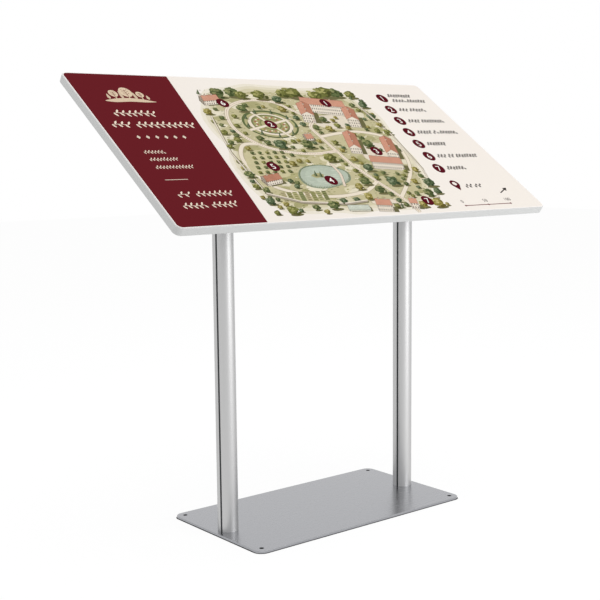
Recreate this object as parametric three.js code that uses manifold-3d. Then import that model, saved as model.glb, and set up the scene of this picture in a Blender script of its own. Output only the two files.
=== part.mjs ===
// A tilted display panel on two grooved round posts, bolted to a steel floor plate.
// Millimetres. X runs right for a reader, Y runs back and Z runs up.
// The origin is the centre of the floor plate's underside.

import * as THREE from 'three';
import { mergeVertices } from 'three/addons/utils/BufferGeometryUtils.js';
import Module from 'manifold-3d';

// Fits
const seatGap = 0.3;
const cutOverrun = 1;

// Floor plate
const plateLength = 660;
const plateWidth = 360;
const plateThickness = 6;
const plateCornerRadius = 22;
const plateArris = 0.6;
const anchorHoleDiameter = 11;
const anchorHoleInset = 21;

// Grooved posts, which stand with their grooves turned a little to the front
const postInset = 40;
const postLength = 840;
const postDiameter = 50;
const postWall = 2.5;
const postTurn = 15;
const grooveOpening = 5;
const grooveLip = 2.6;
const pocketWidth = 11;
const pocketDepth = 5;
const pocketWall = 2;
const webThickness = 2.2;
const portBore = 5.4;
const portWall = 2.2;
const portInset = 5.3;
const portNeckWidth = 4;
const portAngles = [60, 120, 240, 300];

// Infill strips of the grooves
const stripRecess = 0.8;
const stripSidePlay = 1.3;
const stripFootThickness = 1.6;

// Countersunk screws that hold the posts down
const footScrewHeadDiameter = 12;
const footScrewHeadRim = 0.5;
const footScrewLength = 32;
const screwTip = 1.4;

// Cast heads, measured along the post's axis from its top to the arm's seat
const headHeight = 56;
const headFlare = 7;
const headCollar = 12;
const headFloor = 8;
const armOverhang = 30;
const armEdge = 12;
const armThickness = 8;
const armCornerRadius = 16;
const ribThickness = 10;
const ribFoot = 5;
const ribEndDepth = 5;
const ribEndInset = 10;
const gussetFullnessShare = 0.45;
const flareShares = [0, 0.35, 0.7, 1];

// Cap screws in the wells of the heads
const screwHolePlay = 0.6;
const screwWellPlay = 0.5;
const capHeadDiameter = 10;
const capHeadHeight = 6;
const headScrewLength = 20;

// C rails across the back of the panel
const railInset = 145;
const railEndInset = 80;
const railWidth = 40;
const railDepth = 18;
const railWall = 2;
const railCornerRadius = 3.5;
const railSlot = 14;
const tapeThickness = 1;
const tapeWidth = 30;
const tapeEndInset = 10;

// T-bolts and flange nuts that clamp the arms to the rails
const boltDiameter = 8;
const boltHolePlay = 0.5;
const boltHeadThickness = 4;
const boltHeadPlay = 1.5;
const boltEnd = 4;
const nutWall = 2.5;
const nutHeight = 8;
const nutFlangeRim = 2.3;
const nutFlangeThickness = 1.6;
const nutToRib = 4.2;

// Panel tray and its printed films
const panelWidth = 1145;
const panelHeight = 590;
const panelDepth = 20;
const panelCornerRadius = 16;
const panelTilt = 35;
const traySheet = 2.5;
const trayLip = 15;
const trayMouthCornerRadius = 5;
const trayArris = 0.8;
const filmThickness = 0.5;
const filmInset = 1.5;
const titleTopShare = 0.25;
const titleBottomShare = 0.2;

// Smoothness of the round stretches
const postSegments = 64;
const bossSegments = 32;
const holeSegments = 24;
const boreSegments = 12;
const cornerSegments = 9;
const smallCornerSegments = 3;
const hexagonSides = 6;

// Places that follow from the sizes
const tilt = THREE.MathUtils.degToRad(panelTilt);
const turn = THREE.MathUtils.degToRad(postTurn);
const postSpacing = plateLength - 2 * postInset;
const postRadius = postDiameter / 2;
const postTop = plateThickness + postLength;
const faceLevel = panelDepth / 2;
const trayFront = faceLevel - filmThickness - seatGap;
const trayBack = -panelDepth / 2;
const trayFloor = trayFront - traySheet;
const tapeFront = trayFloor - seatGap;
const railFront = tapeFront - tapeThickness - seatGap;
const railBack = railFront - railDepth;
const armSeat = railBack - seatGap;
const armBack = armSeat - armThickness;
const panelCentre = postTop + headHeight - armSeat / Math.cos(tilt);
const screwShankDiameter = portBore - 2 * seatGap;
const portPlaces = portAngles.map((angle) => polar(postRadius - postWall - portInset, angle));
const pocketFront = postRadius - grooveLip;
const pocketBack = pocketFront - pocketDepth;
const headTopRadius = postRadius + headFlare;
const railSpacing = panelHeight - 2 * railInset;
const railLength = panelWidth - 2 * railEndInset;
const nutAcross = boltDiameter + 2 * nutWall;
const nutFlangeDiameter = nutAcross + 2 * nutFlangeRim;
const boltSpacing = ribThickness + nutFlangeDiameter + 2 * nutToRib;
const armLength = railSpacing + 2 * armOverhang;
const armWidth = boltSpacing + 2 * armEdge;

const wasm = await Module();
wasm.setup();

// Geometry helpers

function polar(radius, degrees) {
  const angle = THREE.MathUtils.degToRad(degrees);
  return new THREE.Vector2(radius * Math.cos(angle), radius * Math.sin(angle));
}

// A closed mesh with shared vertices and no triangle of zero area
function closed(geometry) {
  const bare = geometry.index ? geometry.toNonIndexed() : geometry.clone();
  bare.deleteAttribute('normal');
  bare.deleteAttribute('uv');
  const merged = mergeVertices(bare);
  const index = merged.index.array;
  const kept = [];
  for (let i = 0; i < index.length; i += 3) {
    const [a, b, c] = index.slice(i, i + 3);
    if (a !== b && b !== c && c !== a) kept.push(a, b, c);
  }
  merged.setIndex(kept);
  return merged;
}

function solid(geometry) {
  const mesh = closed(geometry);
  return new wasm.Manifold(new wasm.Mesh({
    numProp: 3,
    vertProperties: new Float32Array(mesh.attributes.position.array),
    triVerts: new Uint32Array(mesh.index.array),
  }));
}

function joined(solids) {
  return solids.reduce((whole, piece) => whole.add(piece));
}

function cut(body, tools) {
  return tools.reduce((rest, tool) => rest.subtract(tool), body);
}

function piece(name, shape, material) {
  let geometry = shape;
  if (!shape.isBufferGeometry) {
    const mesh = shape.getMesh();
    geometry = new THREE.BufferGeometry();
    geometry.setAttribute('position', new THREE.BufferAttribute(mesh.vertProperties, mesh.numProp));
    geometry.setIndex(new THREE.BufferAttribute(mesh.triVerts, 1));
  } else {
    geometry = closed(shape);
  }
  geometry.computeVertexNormals();
  const object = new THREE.Mesh(geometry, material);
  object.name = name;
  return object;
}

function finish(color, roughness, metalness) {
  return new THREE.MeshStandardMaterial({ color, roughness, metalness });
}

function group(x, y, z, children) {
  const made = new THREE.Group();
  made.position.set(x, y, z);
  made.add(...children);
  return made;
}

function roundedRectangle(width, height, radius) {
  const x = width / 2 - radius;
  const y = height / 2 - radius;
  const shape = new THREE.Shape();
  shape.absarc(x, y, radius, 0, Math.PI / 2);
  shape.absarc(-x, y, radius, Math.PI / 2, Math.PI);
  shape.absarc(-x, -y, radius, Math.PI, Math.PI * 1.5);
  shape.absarc(x, -y, radius, Math.PI * 1.5, Math.PI * 2);
  return shape;
}

// A shape drawn in X and Y, as thick as the distance between two levels of Z
function slab(shape, bottom, top, curveSegments = cornerSegments) {
  const geometry = new THREE.ExtrudeGeometry(shape, {
    depth: top - bottom,
    bevelEnabled: false,
    curveSegments,
  });
  return geometry.translate(0, 0, bottom);
}

// The same with both of its outer edges broken
function softSlab(shape, bottom, top, arris, curveSegments = cornerSegments) {
  const geometry = new THREE.ExtrudeGeometry(shape, {
    depth: top - bottom - 2 * arris,
    bevelThickness: arris,
    bevelSize: arris,
    bevelOffset: -arris,
    bevelSegments: 1,
    curveSegments,
  });
  return geometry.translate(0, 0, bottom + arris);
}

// A section drawn in Y and Z, centred on X
function acrossX(shape, length, curveSegments = cornerSegments) {
  const lieDown = new THREE.Matrix4().makeBasis(
    new THREE.Vector3(0, 1, 0),
    new THREE.Vector3(0, 0, 1),
    new THREE.Vector3(1, 0, 0),
  );
  return slab(shape, -length / 2, length / 2, curveSegments).applyMatrix4(lieDown);
}

function block(width, depth, bottom, top) {
  return new THREE.BoxGeometry(width, depth, top - bottom).translate(0, 0, (top + bottom) / 2);
}

function rod(diameter, bottom, top, segments = boreSegments) {
  const radius = diameter / 2;
  return new THREE.CylinderGeometry(radius, radius, top - bottom, segments)
    .rotateX(Math.PI / 2)
    .translate(0, 0, (top + bottom) / 2);
}

// A turned shape: its profile is given as radius and height, from the bottom of the axis to the top
function turned(profile, segments = boreSegments) {
  const points = profile.map(([radius, height]) => new THREE.Vector2(radius, height));
  return new THREE.LatheGeometry(points, segments).rotateX(Math.PI / 2);
}

function onPosts(make) {
  return [-1, 1].map((side) => make().rotateZ(turn).translate(side * postSpacing / 2, 0, 0));
}

// Panel coordinates: X across, Y up the slope, Z out of the printed face, from the panel's centre
function fromPanel(geometry) {
  return geometry.rotateX(tilt).translate(0, 0, panelCentre);
}

function slopePoint(along, level) {
  return new THREE.Vector2(
    along * Math.cos(tilt) - level * Math.sin(tilt),
    panelCentre + along * Math.sin(tilt) + level * Math.cos(tilt),
  );
}

// Finishes
const satinSteel = finish(0xa9aaad, 0.34, 1);
const satinAluminium = finish(0xc6c8ca, 0.28, 1);
const castAluminium = finish(0xb2b4b6, 0.55, 1);
const zincPlate = finish(0xb9bcc0, 0.4, 1);
const stainless = finish(0xc2c2c0, 0.3, 1);
const blackRubber = finish(0x232527, 0.7, 0);
const whiteTape = finish(0xe4e4e0, 0.8, 0);
const greyPaint = finish(0xcdcfd0, 0.45, 0);
const darkRedFilm = finish(0x651f25, 0.4, 0);
const ivoryFilm = finish(0xefebe3, 0.4, 0);

// Floor plate

// The seat of a countersunk head: a straight rim and a cone of 90 degrees
function countersink() {
  const radius = footScrewHeadDiameter / 2 + seatGap;
  const rim = footScrewHeadRim + 2 * seatGap;
  return turned([[0, -cutOverrun], [radius, -cutOverrun], [radius, rim], [0, rim + radius]]);
}

function footScrewHole() {
  return rod(portBore, -cutOverrun, plateThickness + cutOverrun);
}

function floorPlate() {
  const outline = roundedRectangle(plateLength, plateWidth, plateCornerRadius);
  const sheet = solid(softSlab(outline, 0, plateThickness, plateArris));
  const anchorHoles = [];
  for (const x of [-1, 1]) {
    for (const y of [-1, 1]) {
      const hole = rod(anchorHoleDiameter, -cutOverrun, plateThickness + cutOverrun, holeSegments);
      const right = plateLength / 2 - anchorHoleInset;
      const back = plateWidth / 2 - anchorHoleInset;
      anchorHoles.push(solid(hole.translate(x * right, y * back, 0)));
    }
  }
  const screwSeats = portPlaces.flatMap((place) => [countersink, footScrewHole].flatMap((make) => (
    onPosts(() => make().translate(place.x, place.y, 0)).map(solid)
  )));
  return piece('base_plate', cut(sheet, [...anchorHoles, ...screwSeats]), satinSteel);
}

// Posts: a round tube with two T-grooves, a web between their pockets and four screw ports

// A full-length block that runs out from the axis along X
function radialBlock(inner, outer, width, overrun = 0) {
  return block(outer - inner, width, -overrun, postLength + overrun)
    .translate((inner + outer) / 2, 0, 0);
}

function grooveSides(make) {
  return [solid(make()), solid(make().rotateZ(Math.PI))];
}

function postTube() {
  const ring = new THREE.Shape().absarc(0, 0, postRadius, 0, Math.PI * 2);
  ring.holes.push(new THREE.Path().absarc(0, 0, postRadius - postWall, 0, Math.PI * 2, true));
  return solid(slab(ring, 0, postLength, postSegments / 2));
}

function screwPort(place) {
  const barrel = solid(rod(portBore + 2 * portWall, 0, postLength).translate(place.x, place.y, 0));
  const neck = radialBlock(place.length(), postRadius - postWall / 2, portNeckWidth);
  return barrel.add(solid(neck.rotateZ(place.angle())));
}

function postExtrusion() {
  const back = pocketBack - pocketWall;
  const pocketBlock = () => radialBlock(back, postRadius - postWall / 2, pocketWidth + 2 * pocketWall);
  const web = solid(block(2 * back + pocketWall, webThickness, 0, postLength));
  const opening = () => radialBlock(
    pocketFront - cutOverrun,
    postRadius + cutOverrun,
    grooveOpening,
    cutOverrun,
  );
  const pocket = () => radialBlock(pocketBack, pocketFront, pocketWidth, cutOverrun);
  const metal = joined([
    postTube(),
    web,
    ...grooveSides(pocketBlock),
    ...portPlaces.map(screwPort),
  ]);
  const bores = portPlaces.map((place) => (
    solid(rod(portBore, -cutOverrun, postLength + cutOverrun).translate(place.x, place.y, 0))
  ));
  return cut(metal, [...grooveSides(opening), ...grooveSides(pocket), ...bores]);
}

function grooveStrip() {
  const foot = pocketWidth / 2 - stripSidePlay;
  const stem = grooveOpening / 2 - seatGap;
  const front = postRadius - stripRecess;
  const shoulder = pocketFront - seatGap;
  const back = shoulder - stripFootThickness;
  const section = new THREE.Shape([
    new THREE.Vector2(back, -foot),
    new THREE.Vector2(shoulder, -foot),
    new THREE.Vector2(shoulder, -stem),
    new THREE.Vector2(front, -stem),
    new THREE.Vector2(front, stem),
    new THREE.Vector2(shoulder, stem),
    new THREE.Vector2(shoulder, foot),
    new THREE.Vector2(back, foot),
  ]);
  return slab(section, 0, postLength);
}

// Countersunk screw, its head's face at zero
function footScrew() {
  const head = footScrewHeadDiameter / 2;
  const shank = screwShankDiameter / 2;
  return turned([
    [0, 0],
    [head, 0],
    [head, footScrewHeadRim],
    [shank, footScrewHeadRim + head - shank],
    [shank, footScrewLength - screwTip],
    [shank - screwTip / 2, footScrewLength],
    [0, footScrewLength],
  ]);
}

// Cap screw, the seat of its head at zero and its shank below
function capScrew() {
  const shank = screwShankDiameter / 2;
  return turned([
    [0, -headScrewLength],
    [shank - screwTip / 2, -headScrewLength],
    [shank, screwTip - headScrewLength],
    [shank, 0],
    [capHeadDiameter / 2, 0],
    [capHeadDiameter / 2, capHeadHeight],
    [0, capHeadHeight],
  ]);
}

function post(side, x) {
  const parts = [
    piece(`post_${side}`, postExtrusion(), satinAluminium),
    piece(`groove_strip_${side}_1`, grooveStrip(), blackRubber),
    piece(`groove_strip_${side}_2`, grooveStrip().rotateZ(Math.PI), blackRubber),
  ];
  portPlaces.forEach((place, i) => {
    const foot = footScrew().translate(place.x, place.y, seatGap - plateThickness);
    const cap = capScrew().translate(place.x, place.y, postLength + headFloor + seatGap);
    parts.push(piece(`foot_screw_${side}_${i + 1}`, foot, zincPlate));
    parts.push(piece(`head_screw_${side}_${i + 1}`, cap, stainless));
  });
  const assembly = group(x, 0, plateThickness, parts);
  assembly.rotation.z = turn;
  return assembly;
}

// Cast heads: a flared boss on the post, an arm up the slope and a curved gusset rib below it

function headBoss() {
  const rise = headHeight + headTopRadius * Math.tan(tilt) + cutOverrun;
  const flare = flareShares.map((share) => [
    postRadius + headFlare * share * share,
    headCollar + (headHeight - headCollar) * share,
  ]);
  const profile = [[0, 0], [postRadius, 0], ...flare, [headTopRadius, rise], [0, rise]];
  return solid(turned(profile, bossSegments).translate(0, 0, postTop));
}

function armFlange() {
  const outline = roundedRectangle(armWidth, armLength, armCornerRadius);
  return solid(fromPanel(slab(outline, armBack, armSeat, smallCornerSegments)));
}

function gussetRib() {
  const reach = armLength / 2 - ribEndInset;
  const middle = armSeat - armThickness / 2;
  const heel = postTop + ribFoot;
  const outline = new THREE.Shape();
  const start = slopePoint(-reach, middle);
  const top = slopePoint(reach, middle);
  outline.moveTo(start.x, start.y);
  gussetCurve(outline, slopePoint(-reach, armBack - ribEndDepth), new THREE.Vector2(-postRadius, heel), true);
  gussetCurve(outline, slopePoint(reach, armBack - ribEndDepth), new THREE.Vector2(postRadius, heel), false);
  outline.lineTo(top.x, top.y);
  return solid(acrossX(outline, ribThickness));
}

// One side of the rib's lower edge, hollowed towards the corner of the arm and the post
function gussetCurve(outline, tip, heel, fromTip) {
  const corner = new THREE.Vector2(heel.x, tip.y + (heel.x - tip.x) * Math.tan(tilt));
  const middle = tip.clone().add(heel).divideScalar(2);
  const control = middle.lerp(corner, gussetFullnessShare);
  const [from, to] = fromTip ? [tip, heel] : [heel, tip];
  outline.lineTo(from.x, from.y);
  outline.quadraticCurveTo(control.x, control.y, to.x, to.y);
}

function screwWell(place) {
  const top = postTop + headHeight * 2;
  const hole = rod(portBore + 2 * screwHolePlay, postTop - cutOverrun, postTop + headFloor + cutOverrun);
  const well = rod(capHeadDiameter + 2 * screwWellPlay, postTop + headFloor, top);
  return [hole, well].map((tool) => solid(tool.translate(place.x, place.y, 0).rotateZ(turn)));
}

function boltPlaces() {
  return [-1, 1].flatMap((up) => [-1, 1].map((right) => (
    new THREE.Vector2(right * boltSpacing / 2, up * railSpacing / 2)
  )));
}

function lecternHead() {
  const aboveSeat = solid(fromPanel(block(armLength, armLength, armSeat, armSeat + 2 * headHeight)));
  const casting = joined([headBoss(), gussetRib()]).subtract(aboveSeat).add(armFlange());
  const boltHoles = boltPlaces().map((place) => solid(fromPanel(
    rod(boltDiameter + 2 * boltHolePlay, armBack - cutOverrun, armSeat + cutOverrun)
      .translate(place.x, place.y, 0),
  )));
  return cut(casting, [...portPlaces.flatMap(screwWell), ...boltHoles]);
}

function head(side, x) {
  const casting = piece(`lectern_head_${side}`, lecternHead(), castAluminium);
  return group(x, 0, 0, [casting]);
}

// Rails, tapes, T-bolts and nuts, in panel coordinates

function cRail() {
  const outline = roundedRectangle(railWidth, railDepth, railCornerRadius);
  const inner = roundedRectangle(
    railWidth - 2 * railWall,
    railDepth - 2 * railWall,
    railCornerRadius - railWall,
  );
  outline.holes.push(new THREE.Path(inner.getPoints(smallCornerSegments).reverse()));
  const centre = (railFront + railBack) / 2;
  const tube = acrossX(outline, railLength, smallCornerSegments).translate(0, 0, centre);
  const length = railLength + 2 * cutOverrun;
  const slot = block(length, railSlot, railBack - cutOverrun, railBack + railWall + cutOverrun);
  return solid(tube).subtract(solid(slot));
}

function railTape() {
  return block(railLength - 2 * tapeEndInset, tapeWidth, tapeFront - tapeThickness, tapeFront);
}

function tBolt() {
  const seat = railBack + railWall + seatGap;
  const length = railWidth - 2 * (railWall + boltHeadPlay);
  const headBlock = block(railSlot - 2 * boltHeadPlay, length, seat, seat + boltHeadThickness);
  const end = armBack - seatGap - nutHeight - boltEnd;
  return solid(headBlock).add(solid(rod(boltDiameter, end, seat + boltHeadThickness / 2)));
}

function flangeNut() {
  const face = armBack - seatGap;
  const corners = nutAcross / Math.cos(Math.PI / hexagonSides);
  const hexagon = solid(rod(corners, face - nutHeight, face - nutFlangeThickness / 2, hexagonSides));
  const flange = solid(rod(nutFlangeDiameter, face - nutFlangeThickness, face, holeSegments));
  const bore = rod(boltDiameter + 2 * seatGap, face - nutHeight - cutOverrun, face + cutOverrun);
  return hexagon.add(flange).subtract(solid(bore));
}

function railSet(name, y) {
  return group(0, y, 0, [
    piece(`${name}_rail`, cRail(), zincPlate),
    piece(`${name}_rail_tape`, railTape(), whiteTape),
  ]);
}

function clampSet(side, x) {
  const parts = boltPlaces().flatMap((place, i) => {
    const bolt = piece(`rail_bolt_${side}_${i + 1}`, tBolt(), zincPlate);
    const nut = piece(`flange_nut_${side}_${i + 1}`, flangeNut(), stainless);
    return [group(place.x, place.y, 0, [bolt, nut])];
  });
  return group(x, 0, 0, parts);
}

// Panel: a shallow tray with returned lips, faced with two butted printed films

function panelTray() {
  const level = (inset, radius) => roundedRectangle(
    panelWidth - 2 * inset,
    panelHeight - 2 * inset,
    radius,
  );
  const inside = level(traySheet, panelCornerRadius - traySheet);
  const hollow = slab(inside, trayBack + traySheet, trayFloor);
  const opening = level(traySheet + trayLip, trayMouthCornerRadius);
  const mouth = slab(opening, trayBack - cutOverrun, trayBack + traySheet + cutOverrun);
  const shell = softSlab(level(0, panelCornerRadius), trayBack, trayFront, trayArris);
  return cut(solid(shell), [solid(hollow), solid(mouth)]);
}

function films() {
  const outline = roundedRectangle(
    panelWidth - 2 * filmInset,
    panelHeight - 2 * filmInset,
    panelCornerRadius - filmInset,
  );
  const whole = solid(slab(outline, faceLevel - filmThickness, faceLevel));
  const left = -panelWidth / 2;
  const bottomSeam = left + panelWidth * titleBottomShare;
  const topSeam = left + panelWidth * titleTopShare;
  const half = panelHeight / 2;
  const leftOf = (gap) => solid(slab(new THREE.Shape([
    new THREE.Vector2(left - cutOverrun, -half),
    new THREE.Vector2(bottomSeam + gap, -half),
    new THREE.Vector2(topSeam + gap, half),
    new THREE.Vector2(left - cutOverrun, half),
  ]), trayFront, faceLevel + cutOverrun));
  return [
    piece('title_film', whole.intersect(leftOf(-seatGap / 2)), darkRedFilm),
    piece('map_film', whole.subtract(leftOf(seatGap / 2)), ivoryFilm),
  ];
}

function displayPanel() {
  const panel = group(0, 0, panelCentre, [
    piece('panel_tray', panelTray(), greyPaint),
    ...films(),
    railSet('lower', -railSpacing / 2),
    railSet('upper', railSpacing / 2),
    clampSet('left', -postSpacing / 2),
    clampSet('right', postSpacing / 2),
  ]);
  panel.rotation.x = tilt;
  return panel;
}

const sign = group(0, 0, 0, [
  floorPlate(),
  post('left', -postSpacing / 2),
  post('right', postSpacing / 2),
  head('left', -postSpacing / 2),
  head('right', postSpacing / 2),
  displayPanel(),
]);

export default sign;
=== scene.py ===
"""The looks of a tilted park sign: a printed panel on two grooved posts and a steel floor plate.

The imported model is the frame, in metres. Flat artwork is drawn in panel millimetres: X across, Y up
the slope, from the middle of the printed face.
"""

import logging
import math
import random
from collections.abc import Callable, Iterator, Sequence
from dataclasses import dataclass, field
from enum import Enum
from typing import Protocol

import bmesh
import bpy
from mathutils import Matrix, Vector, geometry


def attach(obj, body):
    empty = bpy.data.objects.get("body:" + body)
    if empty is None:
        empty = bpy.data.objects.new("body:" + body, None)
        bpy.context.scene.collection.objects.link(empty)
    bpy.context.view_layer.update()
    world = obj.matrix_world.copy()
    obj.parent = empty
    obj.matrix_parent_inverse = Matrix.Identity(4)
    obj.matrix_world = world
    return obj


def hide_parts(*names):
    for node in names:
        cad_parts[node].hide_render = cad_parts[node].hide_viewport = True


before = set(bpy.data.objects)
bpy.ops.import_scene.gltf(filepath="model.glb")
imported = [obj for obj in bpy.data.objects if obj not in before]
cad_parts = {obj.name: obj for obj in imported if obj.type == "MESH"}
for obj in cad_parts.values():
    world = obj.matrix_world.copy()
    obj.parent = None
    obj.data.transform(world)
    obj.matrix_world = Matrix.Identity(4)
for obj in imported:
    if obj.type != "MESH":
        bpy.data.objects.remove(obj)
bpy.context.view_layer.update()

log = logging.getLogger("park_sign")

Point = tuple[float, float]
Colour = tuple[float, float, float, float]
Area = tuple[float, float, float, float]

MM = 0.001


class Side(Enum):
    """The sign's two sides, by the direction of each along X."""

    LEFT = -1
    RIGHT = 1

    def __str__(self) -> str:
        """Returns the side as the names of pieces have it."""
        return self.name.lower()


# Objects, colours and nodes


def linked(name: str, data: bpy.types.ID) -> bpy.types.Object:
    """Returns a new object with its data, linked to the scene.

    Args:
        name: The object's name.
        data: Its mesh, curve, light or camera.

    Returns:
        The object.
    """
    made = bpy.data.objects.new(name, data)
    bpy.context.scene.collection.objects.link(made)
    return made


def linear(colour: str) -> Colour:
    """Turns an sRGB hex value to linear light.

    Args:
        colour: A value such as "#651F25".

    Returns:
        Red, green, blue and an alpha of one.
    """
    channels = [int(colour[i:i + 2], 16) / 255 for i in (1, 3, 5)]
    red, green, blue = (c / 12.92 if c <= 0.04045 else ((c + 0.055) / 1.055) ** 2.4 for c in channels)
    return red, green, blue, 1.0


def add(
    tree: bpy.types.NodeTree,
    kind: str,
    inputs: dict[str | int, object] | None = None,
    **settings: object,
) -> bpy.types.Node:
    """Adds one node to a tree.

    Args:
        tree: The tree that takes the node.
        kind: The node's type name.
        inputs: Input name or number to a plain value or to the output socket that feeds it.
        settings: The node's own settings.

    Returns:
        The new node.
    """
    node = tree.nodes.new(kind)
    for name, value in settings.items():
        setattr(node, name, value)
    for name, value in (inputs or {}).items():
        if isinstance(value, bpy.types.NodeSocket):
            tree.links.new(value, node.inputs[name])
        else:
            node.inputs[name].default_value = value
    return node


def looked_at(tree: bpy.types.NodeTree) -> bpy.types.NodeSocket:
    """Tells what the eye meets from what only lights the scene.

    Args:
        tree: The tree that takes the nodes.

    Returns:
        One for the camera, a reflection or a view through glass, and nought for the rest.
    """
    path = add(tree, "ShaderNodeLightPath")
    seen = add(tree, "ShaderNodeMath", {
        0: path.outputs["Is Camera Ray"], 1: path.outputs["Is Glossy Ray"]}, operation="MAXIMUM")
    shown = add(tree, "ShaderNodeMath", {
        0: seen.outputs[0], 1: path.outputs["Is Transmission Ray"]}, operation="MAXIMUM")
    return shown.outputs[0]


# Finishes


@dataclass(frozen=True)
class Finish:
    """What a surface is made of, under the record's slot. Each kind below says how it was made.

    The pattern's features have a size along X, Y and Z and a depth in millimetres, and detail is how many
    finer octaves it holds. Clouds of a size take its place in the colour where they are given. The shares
    say how far it moves the lightness and the roughness. Nearly all of a noise lies between noise_low and
    noise_high.
    """

    name: str
    slot: str
    colour: str
    roughness: float
    metallic: float = 0.0
    feature: tuple[float, float, float] = (1.0, 1.0, 1.0)
    detail: float = 2.0
    depth: float = 0.0
    cloud: float = 0.0
    colour_share: float = 0.02
    roughness_share: float = 0.1
    noise_low: float = 0.3
    noise_high: float = 0.7

    def material(self) -> bpy.types.Material:
        """Makes the material the first time and finds it after that.

        Returns:
            This finish as a material.
        """
        made = bpy.data.materials.get(self.name)
        if made and made.get("dressed"):
            return made
        made = bpy.data.materials.new(self.name)
        made.use_nodes = True
        made["dressed"] = True
        tree = made.node_tree
        shader = tree.nodes["Principled BSDF"]
        shader.inputs["Base Color"].default_value = linear(self.colour)
        shader.inputs["Roughness"].default_value = self.roughness
        shader.inputs["Metallic"].default_value = self.metallic
        self.dress(tree, shader)
        return made

    def dress(self, tree: bpy.types.NodeTree, shader: bpy.types.Node) -> None:
        """Lays the surface's own pattern.

        Args:
            tree: The material's tree.
            shader: Its main shader.
        """
        pattern = self.grain(tree, self.feature, self.detail)
        self.vary(tree, shader, self.grain(tree, (self.cloud,) * 3, 1.0) if self.cloud else pattern)
        if self.depth:
            bump = add(tree, "ShaderNodeBump", {
                "Height": pattern, "Distance": self.depth * MM, "Strength": 1.0})
            tree.links.new(bump.outputs[0], shader.inputs["Normal"])

    def grain(self, tree: bpy.types.NodeTree, size: Sequence[float],
              detail: float = 2.0) -> bpy.types.NodeSocket:
        """Adds a noise whose features have a real size.

        Args:
            tree: The material's tree.
            size: The size of a feature along X, Y and Z, in millimetres.
            detail: How many finer octaves it holds.

        Returns:
            The noise's value, about 0.5 on average.
        """
        place = add(tree, "ShaderNodeTexCoord").outputs["Object"]
        scaled = add(tree, "ShaderNodeMapping", {"Vector": place, "Scale": [1 / (s * MM) for s in size]})
        noise = add(tree, "ShaderNodeTexNoise", {"Vector": scaled.outputs[0], "Scale": 1.0, "Detail": detail})
        return noise.outputs["Fac"]

    def vary(self, tree: bpy.types.NodeTree, shader: bpy.types.Node, value: bpy.types.NodeSocket) -> None:
        """Lets a pattern move the colour's lightness and the roughness by the finish's shares.

        Args:
            tree: The material's tree.
            shader: Its main shader.
            value: The pattern.
        """
        light, rough = (
            add(tree, "ShaderNodeMapRange", {
                "Value": value, "From Min": self.noise_low, "From Max": self.noise_high,
                "To Min": middle * (1 - share), "To Max": middle * (1 + share)}).outputs[0]
            for middle, share in ((1.0, self.colour_share), (self.roughness, self.roughness_share)))
        mixed = add(tree, "ShaderNodeVectorMath", {0: linear(self.colour)[:3], "Scale": light},
                    operation="SCALE")
        tree.links.new(mixed.outputs[0], shader.inputs["Base Color"])
        tree.links.new(rough, shader.inputs["Roughness"])


@dataclass(frozen=True)
class BrushedMetal(Finish):
    """Sheet or bar with fine parallel lines. They stretch a reflection across themselves."""

    # Real lines are 0.1 mm apart and are drawn 0.8 mm apart, so that they show.
    feature: tuple[float, float, float] = (50.0, 0.8, 0.8)
    depth: float = 0.001
    roughness_share: float = 0.08


@dataclass(frozen=True)
class CastMetal(Finish):
    """A sand casting after blasting: an even, dull, pebbled grey that scatters every highlight."""

    # The sand leaves dimples 0.5 mm wide, which are drawn 1.4 mm wide, so that they show.
    feature: tuple[float, float, float] = (1.4, 1.4, 1.4)
    detail: float = 3.0
    depth: float = 0.12
    # The blasting nozzle leaves faint clouds as wide as its spray.
    cloud: float = 26.0
    colour_share: float = 0.06


@dataclass(frozen=True)
class PlatedMetal(Finish):
    """Bright zinc or plain stainless hardware, with the faint clouds of a plating bath."""

    # Clouds about half as wide as a bolt's head.
    feature: tuple[float, float, float] = (5.0, 5.0, 5.0)
    colour_share: float = 0.04


@dataclass(frozen=True)
class PowderCoat(Finish):
    """Baked powder paint: a smooth colour with a very fine orange peel that softens reflections."""

    # Real peel is 1 mm across and is drawn 2.2 mm across, so that it shows.
    feature: tuple[float, float, float] = (2.2, 2.2, 2.2)
    detail: float = 1.0
    depth: float = 0.02
    colour_share: float = 0.012


@dataclass(frozen=True)
class SoftPlastic(Finish):
    """Matt rubber or foam, which shows only a fine dusty speckle."""

    # Talc and dust lie in specks 0.2 mm wide, which are drawn 1.2 mm wide, so that they show.
    feature: tuple[float, float, float] = (1.2, 1.2, 1.2)
    detail: float = 3.0
    colour_share: float = 0.12
    roughness_share: float = 0.08


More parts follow.
